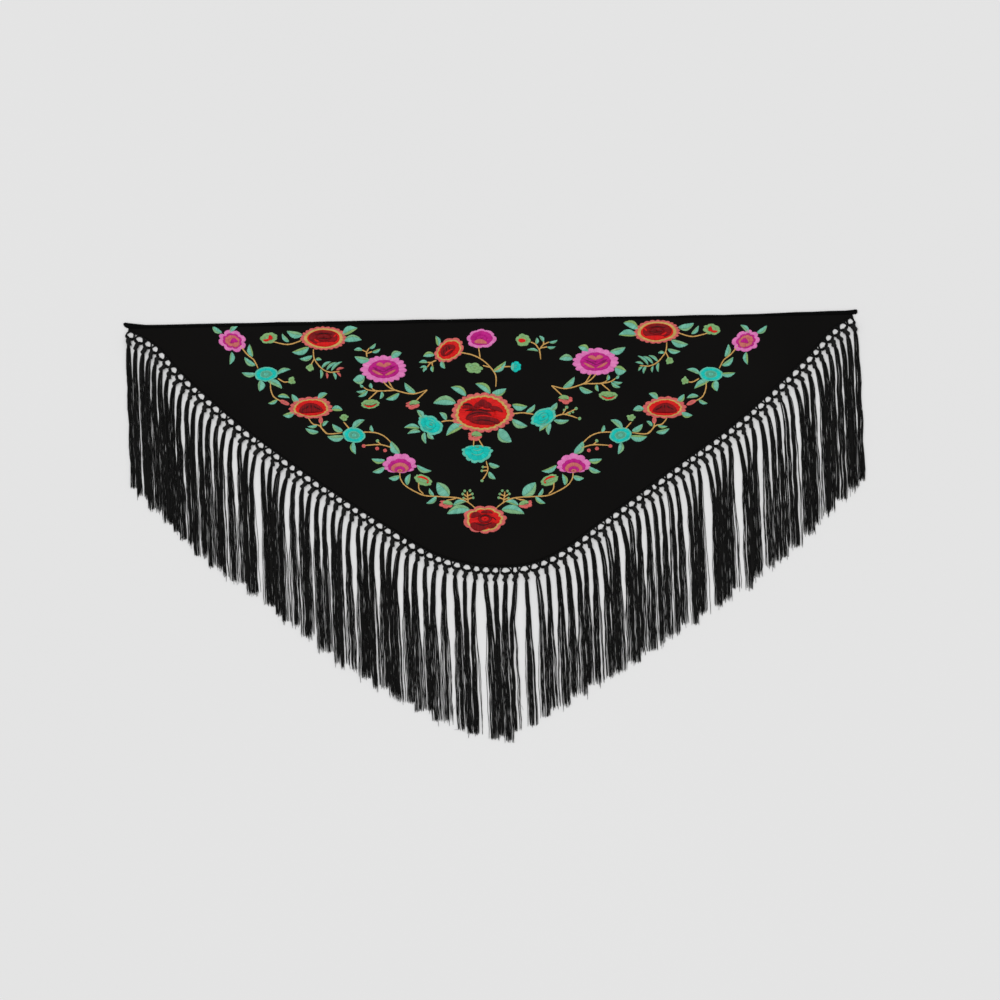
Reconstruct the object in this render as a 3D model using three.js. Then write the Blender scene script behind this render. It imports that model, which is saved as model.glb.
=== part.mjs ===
// A black crepe flamenco shawl laid flat, right side up: one three-cornered panel, a narrow
// hem along its long edge, and along its two short sides a knotted net that carries a long
// tassel fringe. Millimetres. X runs along the long edge, +Y towards it, and +Z up.
// The drawing's own datum is the middle of the long edge, and the finished group is moved so
// that its origin lies on the floor under the middle of the shawl and its fringe.
import * as THREE from "three";

// The panel's cut. across is along the long edge and down is away from it. The two short
// sides bow outwards a little and run round the lowest point in one soft curve.
const SHORT_SIDES = [
  { across: -651, down: 3 },
  { across: -600, down: 33 },
  { across: -548, down: 91 },
  { across: -446, down: 183.5 },
  { across: -312, down: 284.5 },
  { across: -180, down: 373.5 },
  { across: -106, down: 417.5 },
  { across: -39, down: 437.5 },
  { across: 22, down: 442 },
  { across: 73, down: 435.5 },
  { across: 130, down: 409.5 },
  { across: 194, down: 364 },
  { across: 321, down: 274 },
  { across: 444, down: 187.5 },
  { across: 561, down: 83 },
  { across: 612, down: 30 },
  { across: 653, down: 3 },
];
const CLOTH_THICK = 1.2;
const PANEL_ROWS = 6;
const SEAM_GAP = 0.3;
const CURVE_SAMPLES = 1600;

// Soft ridges that stay in the crepe after folding: each runs from one point to another,
// lifts the cloth by height and fades out sideways over its width.
const RIDGES = [
  { fromAcross: -560, fromDown: 46, toAcross: -330, toDown: 232, width: 62, height: 2.8 },
  { fromAcross: -440, fromDown: 20, toAcross: -230, toDown: 190, width: 70, height: 1.8 },
  { fromAcross: -11, fromDown: 40, toAcross: -11, toDown: 425, width: 34, height: 1.4 },
  { fromAcross: 545, fromDown: 50, toAcross: 330, toDown: 222, width: 64, height: 2.4 },
  { fromAcross: 250, fromDown: 30, toAcross: 205, toDown: 240, width: 66, height: 1.6 },
];
const RIDGE_EDGE_FADE = 26;

// The hem: a rolled edge along the whole long side. It thickens towards its tips, which run
// on past the cloth's corners, where the last tassels are tied in, and curl away from it.
// rise is how far its foot stands off the long edge.
const HEM_PLACES = [
  { across: -659.5, rise: 5.5, width: 5 },
  { across: -655, rise: 2, width: 8.4 },
  { across: -650, rise: 0.3, width: 9.2 },
  { across: -639, rise: 0, width: 8 },
  { across: -618, rise: 0, width: 5.6 },
  { across: -470, rise: 0, width: 5.8 },
  { across: -20, rise: 0, width: 5.1 },
  { across: 120, rise: 0, width: 4.1 },
  { across: 270, rise: 0, width: 3.6 },
  { across: 480, rise: 0, width: 3.7 },
  { across: 550, rise: 0, width: 5.6 },
  { across: 640, rise: 0, width: 6.6 },
  { across: 652, rise: 0, width: 7.6 },
  { across: 658, rise: 0.4, width: 8 },
  { across: 661.5, rise: 1.4, width: 6.8 },
];
const HEM_THICK = 2.2;
const HEM_STEP = 30;
const HEM_WAVE = 0.5;

// The net: one row of meshes between the cloth's edge and the knots. half is how far a mesh
// reaches to each side of its middle, out how far from the cloth.
const TASSELS = 93;
const LEFT_TASSELS = 47;
const NET_BASE = 0.25;
const NET_THICK = 2.0;
const MESH = [
  { half: 3.1, out: 2.8 },
  { half: 5.8, out: 7 },
  { half: 1.1, out: 10.2 },
];
const NOTCH_OUT = 8.3;
const KNOT_SEAT = { half: 2.4, out: 12.4 };

// A tassel runs on from the net: a knot, then two locks of thread that part at its neck and
// hang together. half and rise are a section's reach to the side and up, height is where
// its middle lies over the floor, and gap is how far each lock stands from the middle.
const KNOT_RINGS = [
  { along: 4, half: 4.3, rise: 3.4, height: 3.6 },
  { along: 10, half: 4.4, rise: 3.5, height: 3.6 },
  { along: 14.5, half: 2.8, rise: 2.4, height: 3.1 },
];
const LOCK_RINGS = [
  { share: 0.09, gap: 0.5, half: 4.5, rise: 1.9, height: 2.5 },
  { share: 0.2, gap: 0.6, half: 4.9, rise: 1.8, height: 2.1 },
  { share: 1, gap: 0.9, half: 4.5, rise: 1.0, height: 1.3 },
];
const SHOULDER = 0.55;
const TURN_LENGTH = { least: 3, most: 22 };
const FALL = { across: 0.023, down: 1 };
const FALL_SPACING = 10.8;
const SWAY = 0.5;
const UNEVEN_ENDS = 5;

// Below their knots the tassels gather into loose groups: gather is their spacing in a
// group as a share of the spacing at the knots, closest its least, drift how far a whole
// group with room swings to one side, and length the thread over which they come together.
const GROUP = { gather: 0.76, closest: 10.4, drift: 1.5, length: 90 };

// Where the tassels' ends were combed and trimmed to, measured like the short sides.
const FRINGE_FOOT = [
  { across: -655, down: 284 },
  { across: -600, down: 342 },
  { across: -535, down: 412 },
  { across: -415, down: 500 },
  { across: -295, down: 603 },
  { across: -175, down: 680 },
  { across: -55, down: 742 },
  { across: 17, down: 754 },
  { across: 89, down: 706 },
  { across: 161, down: 664 },
  { across: 257, down: 610 },
  { across: 353, down: 543 },
  { across: 449, down: 484 },
  { across: 545, down: 409 },
  { across: 617, down: 334 },
  { across: 658, down: 300 },
];

const smooth = (t) => {
  const c = Math.min(1, Math.max(0, t));
  return c * c * (3 - 2 * c);
};

// The short sides as one curve, measured by its length: the point at a distance along it,
// and the direction out of the cloth there.
function shortSides() {
  const spline = new THREE.SplineCurve(
    SHORT_SIDES.map((p) => new THREE.Vector2(p.across, -p.down)),
  );
  const points = spline.getPoints(CURVE_SAMPLES);
  const along = [0];
  for (let i = 1; i < points.length; i++) {
    along.push(along[i - 1] + points[i].distanceTo(points[i - 1]));
  }
  const length = along[along.length - 1];
  const indexAt = (s) => {
    let low = 0;
    let high = along.length - 1;
    while (high - low > 1) {
      const middle = (low + high) >> 1;
      if (along[middle] <= s) {
        low = middle;
      } else {
        high = middle;
      }
    }
    return low;
  };
  const pointAt = (s) => {
    const i = indexAt(Math.min(length, Math.max(0, s)));
    const share = (s - along[i]) / (along[i + 1] - along[i]);
    return points[i].clone().lerp(points[i + 1], share);
  };
  const outwardAt = (s) => {
    const i = indexAt(Math.min(length, Math.max(0, s)));
    const t = points[i + 1].clone().sub(points[i]).normalize();
    return new THREE.Vector2(t.y, -t.x);
  };
  return { length, pointAt, outwardAt };
}

// How far the cloth is lifted off the floor at a point, by the ridges.
function liftAt(x, y, low) {
  const sum = RIDGES.reduce((total, r) => {
    const from = new THREE.Vector2(r.fromAcross, -r.fromDown);
    const run = new THREE.Vector2(r.toAcross, -r.toDown).sub(from);
    const offset = new THREE.Vector2(x, y).sub(from);
    const share = offset.dot(run) / run.lengthSq();
    const aside = Math.abs(offset.cross(run)) / run.length();
    const ends = smooth(share / 0.25) * smooth((1 - share) / 0.25);
    return total + r.height * ends * smooth(1 - aside / r.width);
  }, 0);
  return sum * smooth(-y / RIDGE_EDGE_FADE) * smooth((y - low) / RIDGE_EDGE_FADE);
}

// A closed body from its corner points and the triangles between them, turned so that its
// faces point outwards.
function body(points, triangles) {
  const volume = triangles.reduce(
    (sum, [a, b, c]) => sum + points[a].dot(points[b].clone().cross(points[c])),
    0,
  );
  const facing = volume < 0 ? triangles.map(([a, b, c]) => [a, c, b]) : triangles;
  const geometry = new THREE.BufferGeometry();
  geometry.setFromPoints(points);
  geometry.setIndex(facing.flat());
  geometry.computeVertexNormals();
  return geometry;
}

// The triangles between two rings of corner numbers, each ring going round the same way.
function ringWall(near, far) {
  return near.flatMap((a, k) => {
    const next = (k + 1) % near.length;
    return [
      [a, near[next], far[next]],
      [a, far[next], far[k]],
    ];
  });
}

function cap(ring) {
  return ring.slice(2).map((c, k) => [ring[0], ring[k + 1], c]);
}

// A closed body through rings of points, each ring of the same number of points.
function loft(rings) {
  const count = rings[0].length;
  const numbers = rings.map((ring, r) => ring.map((_, k) => r * count + k));
  const walls = numbers.slice(1).flatMap((far, r) => ringWall(numbers[r], far));
  const ends = [
    ...cap([...numbers[0]].reverse()),
    ...cap(numbers[numbers.length - 1]),
  ];
  return body(rings.flat(), [...walls, ...ends]);
}

// The panel: sections from the long edge down to the short sides, one for each tassel, as a
// wall of even thickness that lies on the floor except where a ridge lifts it.
function panelGeometry(sides, pitch) {
  const sections = [];
  for (let c = 0; c <= TASSELS; c++) {
    const foot = sides.pointAt(c * pitch);
    const rows = [];
    for (let r = 0; r <= PANEL_ROWS; r++) {
      const y = (foot.y * r) / PANEL_ROWS;
      rows.push(new THREE.Vector3(foot.x, y, liftAt(foot.x, y, foot.y)));
    }
    const up = rows.map((p) => p.clone().setZ(p.z + CLOTH_THICK));
    sections.push([...rows, ...up.reverse()]);
  }
  return loft(sections);
}

// A section across the hem, from its foot beside the cloth over its back to the floor.
function hemSection({ across, rise, width }) {
  const foot = SEAM_GAP + rise;
  const top = foot + width;
  const chamfer = HEM_THICK * 0.3;
  return [
    new THREE.Vector3(across, foot, 0),
    new THREE.Vector3(across, foot, HEM_THICK - chamfer),
    new THREE.Vector3(across, (foot + top) / 2, HEM_THICK),
    new THREE.Vector3(across, top, HEM_THICK - chamfer),
    new THREE.Vector3(across, top, 0),
  ];
}

// The hem: a flat tube along the long edge, wavering a little as a hand-rolled edge does,
// with sections at its places and evenly between them.
function hemGeometry() {
  const sections = [HEM_PLACES[0]];
  HEM_PLACES.slice(1).forEach((to, n) => {
    const from = HEM_PLACES[n];
    const steps = Math.max(1, Math.round((to.across - from.across) / HEM_STEP));
    for (let k = 1; k <= steps; k++) {
      const share = k / steps;
      const across = THREE.MathUtils.lerp(from.across, to.across, share);
      const wave = k < steps ? HEM_WAVE * Math.sin(across * 0.063) * Math.sin(across * 0.012) : 0;
      sections.push({
        across,
        rise: THREE.MathUtils.lerp(from.rise, to.rise, share),
        width: THREE.MathUtils.lerp(from.width, to.width, share) + wave,
      });
    }
  });
  return loft(sections.map(hemSection));
}

function footAt(across) {
  const n = FRINGE_FOOT.findIndex((p) => p.across > across);
  const i = n < 0 ? FRINGE_FOOT.length - 1 : Math.max(1, n);
  const [a, b] = [FRINGE_FOOT[i - 1], FRINGE_FOOT[i]];
  return THREE.MathUtils.mapLinear(across, a.across, b.across, a.down, b.down);
}

// Whether a tassel starts a new group. Two waves out of step make the groups uneven, of
// one to four tassels.
const startsGroup = (i) => Math.sin(i * 1.7) + 0.8 * Math.sin(i * 0.47 + 2) > -0.1;

// Leans the tassels of each group towards its middle, as far as there is room.
function leanIntoGroups(seats) {
  let first = 0;
  for (let end = 1; end <= seats.length; end++) {
    if (end < seats.length && !startsGroup(end)) {
      continue;
    }
    const group = seats.slice(first, end);
    const [before, after] = [Math.max(0, first - 1), Math.min(seats.length - 1, end)];
    const spacing = (seats[after].hangs - seats[before].hangs) / (after - before);
    const step = Math.min(spacing, Math.max(GROUP.closest, GROUP.gather * spacing));
    const room = THREE.MathUtils.clamp((spacing - FALL_SPACING) / FALL_SPACING, 0, 0.5) * 2;
    const middle = (group[0].hangs + group[group.length - 1].hangs) / 2;
    group.forEach((seat, k) => {
      const place = middle + (k - (group.length - 1) / 2) * step;
      seat.lean = place - seat.hangs + room * GROUP.drift * Math.sin(first * 2.9);
    });
    first = end;
  }
}

// Every tassel's seat on the net and the length of thread over which it turns to hang. Near
// a corner they turn sooner, so that no two hang closer than FALL_SPACING.
function tasselSeats(sides, pitch) {
  const seats = Array.from({ length: TASSELS }, (_, i) => {
    const s = (i + 0.5) * pitch;
    const outward = sides.outwardAt(s);
    const start = sides.pointAt(s).addScaledVector(outward, KNOT_SEAT.out);
    return { i, start, outward, hangs: start.x + TURN_LENGTH.most * outward.x };
  });
  const half = Math.floor(TASSELS / 2);
  const last = TASSELS - 1;
  seats[0].hangs = SHORT_SIDES[0].across - 1;
  seats[last].hangs = SHORT_SIDES[SHORT_SIDES.length - 1].across + 5;
  for (let i = 1; i < half; i++) {
    seats[i].hangs = Math.max(seats[i].hangs, seats[i - 1].hangs + FALL_SPACING);
    seats[last - i].hangs = Math.min(seats[last - i].hangs, seats[last - i + 1].hangs - FALL_SPACING);
  }
  for (const seat of seats) {
    const sloping = Math.abs(seat.outward.x) > 0.1;
    const turn = sloping ? (seat.hangs - seat.start.x) / seat.outward.x : TURN_LENGTH.most;
    seat.turn = THREE.MathUtils.clamp(turn, TURN_LENGTH.least, TURN_LENGTH.most);
  }
  leanIntoGroups(seats);
  return seats;
}

// The middle line of a tassel, from its seat on the net: it leaves square to the cloth's
// edge and turns, over a length of thread, into the way that all the tassels fall.
function tasselLine({ i, start, outward, turn, lean }) {
  const fall = new THREE.Vector2(FALL.across, -FALL.down).normalize();
  const foot = footAt(start.x + turn * outward.x) + UNEVEN_ENDS * Math.sin(i * 2.7);
  const length = turn + (foot + start.y + turn * outward.y) / -fall.y;
  const fromMiddle = Math.abs((2 * i) / (TASSELS - 1) - 1);
  const sway = SWAY * (1 - fromMiddle) * Math.sin(i * 1.7) * Math.sin(i * 0.53);
  const at = (t) => {
    const turned = turn * (1 - Math.exp(-t / turn));
    const p = start.clone().addScaledVector(outward, turned);
    p.addScaledVector(fall, t - turned);
    const aside = lean * smooth(t / GROUP.length) + sway * smooth(t / length);
    return p.add(new THREE.Vector2(aside, 0));
  };
  // A point beside the line: aside is towards the right of a reader facing the long edge.
  const beside = (t, aside, height) => {
    const run = at(t + 1).sub(at(t)).normalize();
    const p = at(t);
    return new THREE.Vector3(p.x - run.y * aside, p.y + run.x * aside, height);
  };
  return { beside, length };
}

// The six corners of a section across a knot, going round from its lower left.
function knotSection(line, ring) {
  const { along, half, rise, height } = ring;
  return [
    line.beside(along, -half, height - SHOULDER * rise),
    line.beside(along, 0, height - rise),
    line.beside(along, half, height - SHOULDER * rise),
    line.beside(along, half, height + SHOULDER * rise),
    line.beside(along, 0, height + rise),
    line.beside(along, -half, height + SHOULDER * rise),
  ];
}

// The four corners of a section across the right (+1) or left (-1) lock of a tassel.
function lockSection(line, ring, side) {
  const along = ring.share * line.length;
  const inner = side * ring.gap;
  const outer = side * ring.half;
  const corners = [
    line.beside(along, inner, ring.height - ring.rise),
    line.beside(along, outer, ring.height - SHOULDER * ring.rise),
    line.beside(along, outer, ring.height + SHOULDER * ring.rise),
    line.beside(along, inner, ring.height + ring.rise),
  ];
  return side > 0 ? corners : [corners[3], corners[2], corners[1], corners[0]];
}

// One side's fringe, from tassel first up to tassel end, all of one piece as its threads
// are: an edge roll that follows the cloth, a mesh cut through over each knot, a notch
// between neighbouring knots, and the tassels running on from their seats.
function fringeGeometry(sides, pitch, tassels, first, end) {
  const place = (s, out) => sides.pointAt(s).addScaledVector(sides.outwardAt(s), out);
  const startEdge = first * pitch + (first > 0 ? SEAM_GAP / 2 : 0);
  const endEdge = end * pitch - (end < TASSELS ? SEAM_GAP / 2 : 0);
  const inner = [place(startEdge, SEAM_GAP)];
  const outer = [place(startEdge, NOTCH_OUT)];
  const meshes = [];
  const seats = [];
  for (let i = first; i < end; i++) {
    const centre = (i + 0.5) * pitch;
    const edge = i + 1 === end ? endEdge : (i + 1) * pitch;
    seats.push(outer.length);
    outer.push(place(centre - KNOT_SEAT.half, KNOT_SEAT.out));
    outer.push(place(centre, KNOT_SEAT.out));
    outer.push(place(centre + KNOT_SEAT.half, KNOT_SEAT.out));
    outer.push(place(edge, NOTCH_OUT));
    inner.push(place(edge, SEAM_GAP));
    const right = MESH.map((p) => place(centre + p.half, p.out));
    const left = MESH.map((p) => place(centre - p.half, p.out));
    meshes.push([...right, ...left.reverse()]);
  }
  const contour = [...outer, ...inner.reverse()];
  const flat = [...contour, ...meshes.flat()];
  const points = [
    ...flat.map((p) => new THREE.Vector3(p.x, p.y, NET_BASE)),
    ...flat.map((p) => new THREE.Vector3(p.x, p.y, NET_BASE + NET_THICK)),
  ];
  const over = flat.length;
  const triangles = [];
  for (const [a, b, c] of THREE.ShapeUtils.triangulateShape(contour, meshes)) {
    const turned = flat[b].clone().sub(flat[a]).cross(flat[c].clone().sub(flat[a])) < 0;
    const [q, r] = turned ? [c, b] : [b, c];
    triangles.push([a, r, q], [a + over, q + over, r + over]);
  }

  // Walls round the outline and round each mesh, left out where a tassel runs on.
  const wall = (a, b) => triangles.push([a, b, b + over], [a, b + over, a + over]);
  const seated = new Set(seats.flatMap((n) => [n, n + 1]));
  contour.forEach((_, n) => seated.has(n) || wall(n, (n + 1) % contour.length));
  meshes.forEach((mesh, m) => {
    const from = contour.length + m * mesh.length;
    mesh.forEach((_, k) => wall(from + k, from + ((k + 1) % mesh.length)));
  });

  const addRing = (corners) => corners.map((p) => points.push(p) - 1);
  seats.forEach((seat, n) => {
    const line = tasselLine(tassels[first + n]);
    let ring = [seat, seat + 1, seat + 2, seat + 2 + over, seat + 1 + over, seat + over];
    for (const section of KNOT_RINGS) {
      const next = addRing(knotSection(line, section));
      triangles.push(...ringWall(ring, next));
      ring = next;
    }
    const [lowLeft, low, lowRight, highRight, high, highLeft] = ring;
    for (const side of [1, -1]) {
      let near = side > 0 ? [low, lowRight, highRight, high] : [high, highLeft, lowLeft, low];
      for (const section of LOCK_RINGS) {
        const next = addRing(lockSection(line, section, side));
        triangles.push(...ringWall(near, next));
        near = next;
      }
      triangles.push(...cap(near));
    }
  });
  return body(points, triangles);
}

const crepe = new THREE.MeshStandardMaterial({ color: 0x141312, roughness: 0.85, metalness: 0 });
const hemThread = new THREE.MeshStandardMaterial({ color: 0x0f0e0e, roughness: 0.8, metalness: 0 });
const fringeThread = new THREE.MeshStandardMaterial({
  color: 0x181817,
  roughness: 0.5,
  metalness: 0,
});

function named(name, geometry, material) {
  const mesh = new THREE.Mesh(geometry, material);
  mesh.name = name;
  return mesh;
}

const sides = shortSides();
const pitch = sides.length / TASSELS;
const tassels = tasselSeats(sides, pitch);
const fringe = (first, end) => fringeGeometry(sides, pitch, tassels, first, end);
const shawl = new THREE.Group();
shawl.name = "flamenco_shawl";
shawl.add(
  named("cloth_panel", panelGeometry(sides, pitch), crepe),
  named("long_edge_hem", hemGeometry(), hemThread),
  named("fringe_left", fringe(0, LEFT_TASSELS), fringeThread),
  named("fringe_right", fringe(LEFT_TASSELS, TASSELS), fringeThread),
);

// The origin goes on the floor, under the middle of the whole.
const extent = new THREE.Box3().setFromObject(shawl);
const middle = extent.getCenter(new THREE.Vector3());
shawl.position.set(-middle.x, -middle.y, 0);

export default shawl;
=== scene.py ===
"""Looks of a black crepe flamenco shawl, laid flat, with embroidered flowers and a long fringe.

Lengths are worked out in millimetres in the cut's own drawing, whose datum is the middle of
the panel's long edge, x along that edge, y towards it and z up. They become metres in the
shared frame when a mesh is made.
"""

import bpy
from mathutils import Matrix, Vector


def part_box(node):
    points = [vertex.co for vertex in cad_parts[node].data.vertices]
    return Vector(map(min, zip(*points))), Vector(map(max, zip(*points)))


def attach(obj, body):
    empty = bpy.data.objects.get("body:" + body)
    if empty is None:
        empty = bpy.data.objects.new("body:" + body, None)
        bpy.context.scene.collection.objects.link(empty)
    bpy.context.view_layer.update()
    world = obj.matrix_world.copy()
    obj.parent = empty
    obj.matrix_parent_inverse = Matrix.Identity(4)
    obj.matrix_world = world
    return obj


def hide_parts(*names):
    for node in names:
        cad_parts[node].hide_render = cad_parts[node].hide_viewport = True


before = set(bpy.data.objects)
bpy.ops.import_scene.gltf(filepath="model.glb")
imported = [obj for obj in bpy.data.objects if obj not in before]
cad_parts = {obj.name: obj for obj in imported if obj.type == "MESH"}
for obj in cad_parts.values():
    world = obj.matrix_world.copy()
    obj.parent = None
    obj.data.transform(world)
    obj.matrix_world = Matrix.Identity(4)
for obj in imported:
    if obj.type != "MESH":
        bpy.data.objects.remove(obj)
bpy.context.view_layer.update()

import logging
import math
from dataclasses import dataclass, field
from enum import Enum
from typing import Optional, Sequence

import bpy
import numpy as np
from bpy.types import Material, Node, NodeSocket, Object

LOG = logging.getLogger("shawl")
MM = 0.001
SEED = 41
TAU = 2 * np.pi


def read_rows(kind: type, *table: tuple) -> tuple:
    """Reads each row of a table as a kind, whose fields name the columns in their order."""
    return tuple(kind(*row) for row in table)


# The cut, as the solids have it, in mm.


@dataclass(frozen=True)
class CutPoint:
    """A point of the cut: across is along the long edge, down is away from it."""

    across: float
    down: float


@dataclass(frozen=True)
class Ridge:
    """A soft ridge or, with a negative height, a trough in the cloth."""

    from_across: float
    from_down: float
    to_across: float
    to_down: float
    width: float
    height: float


@dataclass(frozen=True)
class HemPlace:
    """A place along the hem: how far its foot stands off the long edge and how wide it is."""

    across: float
    rise: float
    width: float


SHORT_SIDES = read_rows(
    CutPoint,
    (-651, 3), (-600, 33), (-548, 91), (-446, 183.5), (-312, 284.5), (-180, 373.5), (-106, 417.5),
    (-39, 437.5), (22, 442), (73, 435.5), (130, 409.5), (194, 364), (321, 274), (444, 187.5),
    (561, 83), (612, 30), (653, 3),
)
FRINGE_FOOT = read_rows(
    CutPoint,
    (-655, 284), (-600, 342), (-535, 412), (-415, 500), (-295, 603), (-175, 680), (-55, 742),
    (17, 754), (89, 706), (161, 664), (257, 610), (353, 543), (449, 484), (545, 409), (617, 334),
    (658, 300),
)
MAIN_RIDGES = read_rows(
    Ridge,
    (-560, 46, -330, 232, 62, 2.8), (-440, 20, -230, 190, 70, 1.8), (-11, 40, -11, 425, 34, 1.4),
    (545, 50, 330, 222, 64, 2.4), (250, 30, 205, 240, 66, 1.6),
)
HEM_PLACES = read_rows(
    HemPlace,
    (-659.5, 5.5, 5), (-655, 2, 8.4), (-650, 0.3, 9.2), (-639, 0, 8), (-618, 0, 5.6),
    (-470, 0, 5.8), (-20, 0, 5.1), (120, 0, 4.1), (270, 0, 3.6), (480, 0, 3.7), (550, 0, 5.6),
    (640, 0, 6.6), (652, 0, 7.6), (658, 0.4, 8), (661.5, 1.4, 6.8),
)
SMALL_CREASES = read_rows(
    Ridge,
    (-14, 330, -18, 436, 5, 0.5), (-8, 10, -12, 120, 5, 0.35), (58, 396, 96, 414, 6, 0.5),
    (-500, 40, -300, 232, 12, -0.4), (-395, 30, -180, 196, 14, 0.35), (-600, 12, -470, 120, 9, 0.3),
    (470, 30, 300, 150, 12, -0.35), (560, 20, 470, 110, 10, 0.3), (180, 300, 60, 380, 14, 0.3),
    (-240, 260, -120, 350, 13, -0.3), (120, 20, 90, 90, 10, 0.25),
)
RIDGE_EDGE_FADE = 26.0
RIDGE_END_SHARE = 0.25
RIPPLE = 0.12
RIPPLE_LENGTHS = (23, 61, 29, 83)
CREASE_LEAST = -0.2
CREASE_SHARE = 0.8
CURVE_SAMPLES = 1600
TASSELS = 93
LEFT_TASSELS = 47
KNOT_SEAT_OUT = 12.4
TURN_LEAST = 3.0
TURN_MOST = 22.0
FALL_ACROSS = 0.023
FALL_SPACING = 10.8
UNEVEN_ENDS = 5
GROUP_GATHER = 0.76
GROUP_CLOSEST = 10.4
GROUP_DRIFT = 1.5
GROUP_LENGTH = 90.0
SWAY = 0.5
HEM_INNER = 0.3
HEM_LAP = 0.9
HEM_STEP = 30.0
HEM_WAVE = 0.5
CLOTH_TOP = 1.1
CLOTH_UNDER = 0.45
UNDER_LIFT_SHARE = 0.96


def smooth(t: np.ndarray) -> np.ndarray:
    """Eases from 0 to 1 over t from 0 to 1: three t squared less two t cubed, held at its
    ends."""
    c = np.clip(t, 0.0, 1.0)
    return c * c * (3.0 - 2.0 * c)


def unit(run: np.ndarray) -> np.ndarray:
    """Directions of length 1, along the last axis."""
    return run / np.linalg.norm(run, axis=-1, keepdims=True)


def travelled(line: np.ndarray) -> np.ndarray:
    """How far along a line of points each point lies."""
    return np.concatenate(([0.0], np.cumsum(np.hypot(*np.diff(line, axis=0).T))))


def catmull(points: np.ndarray, count: int) -> np.ndarray:
    """A smooth curve through points: each span is a cubic whose slope at a point is half
    the step between its two neighbours.

    Args:
        points: The points, one a row.
        count: How many steps to return.

    Returns:
        count + 1 points along the curve, evenly spaced by span.
    """
    last = len(points) - 1
    p = last * np.arange(count + 1) / count
    i = np.minimum(np.floor(p).astype(int), last)
    w = (p - i)[:, None]
    p0, p1, p2, p3 = (points[np.clip(i + step, 0, last)] for step in (-1, 0, 1, 2))
    v0 = (p2 - p0) * 0.5
    v1 = (p3 - p1) * 0.5
    cubic = (2 * p1 - 2 * p2 + v0 + v1) * w**3
    return cubic + (-3 * p1 + 3 * p2 - 2 * v0 - v1) * w**2 + v0 * w + p1


class Cut:
    """The shawl's cut: its short sides as one measured curve, and its lie on the floor."""

    def __init__(self) -> None:
        low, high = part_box("cloth_panel")
        self.datum = np.array([low.x / MM - SHORT_SIDES[0].across, high.y / MM, 0.0])
        table = np.array([(p.across, -p.down) for p in SHORT_SIDES])
        self.curve = catmull(table, CURVE_SAMPLES)
        self.along = travelled(self.curve)
        self.length = float(self.along[-1])
        self.pitch = self.length / TASSELS

    def point(self, s: np.ndarray) -> np.ndarray:
        """The points at distances s along the short sides."""
        return np.stack([np.interp(s, self.along, c) for c in self.curve.T], axis=-1)

    def outward(self, s: np.ndarray) -> np.ndarray:
        """The directions square out of the cloth at distances s along the short sides."""
        i = np.clip(np.searchsorted(self.along, s, side="right") - 1, 0, CURVE_SAMPLES - 1)
        t = unit(self.curve[i + 1] - self.curve[i])
        return np.stack((t[..., 1], -t[..., 0]), axis=-1)

    def off(self, s: np.ndarray, out: np.ndarray) -> np.ndarray:
        """The points at distances s along the short sides and out from the cloth."""
        return self.point(s) + self.outward(s) * out

    def lift(self, x: np.ndarray, y: np.ndarray, ridges: Sequence[Ridge]) -> np.ndarray:
        """How far ridges lift the cloth: for each, its height times an ease-out over its
        width and an ease-in over a quarter of its length at either end, added up, and
        faded out near the cloth's edges.

        Args:
            x: Positions across.
            y: Positions towards the long edge.
            ridges: The ridges to add up.

        Returns:
            The lift at each position, in mm.
        """
        total = np.zeros_like(x, dtype=float)
        for r in ridges:
            run = np.array([r.to_across - r.from_across, r.from_down - r.to_down])
            ox, oy = x - r.from_across, y + r.from_down
            share = (ox * run[0] + oy * run[1]) / run.dot(run)
            aside = np.abs(ox * run[1] - oy * run[0]) / np.linalg.norm(run)
            ends = smooth(share / RIDGE_END_SHARE) * smooth((1 - share) / RIDGE_END_SHARE)
            total += r.height * ends * smooth(1 - aside / r.width)
        low = np.interp(x, self.curve[:, 0], self.curve[:, 1])
        return total * (smooth(-y / RIDGE_EDGE_FADE) * smooth((y - low) / RIDGE_EDGE_FADE))

    def surface(self, x: np.ndarray, y: np.ndarray) -> np.ndarray:
        """How high the cloth's middle layer is lifted: ridges, creases and a slight ripple
        from two slow sines."""
        a, b, c, d = RIPPLE_LENGTHS
        ripple = np.sin(x / a + y / b) * np.sin(y / c - x / d) * RIPPLE + RIPPLE
        creases = np.maximum(self.lift(x, y, SMALL_CREASES) + ripple, CREASE_LEAST)
        return self.lift(x, y, MAIN_RIDGES) + creases * CREASE_SHARE

    def under(self, lift: np.ndarray) -> np.ndarray:
        """How high the cloth's reverse lies where its middle layer is lifted."""
        return np.maximum(lift * UNDER_LIFT_SHARE, 0) + CLOTH_UNDER


# Meshes.


def show(name: str, data: bpy.types.ID) -> Object:
    """Puts a mesh, lamp or camera into the scene as an object at the origin."""
    made = bpy.data.objects.new(name, data)
    bpy.context.scene.collection.objects.link(made)
    return made


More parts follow.
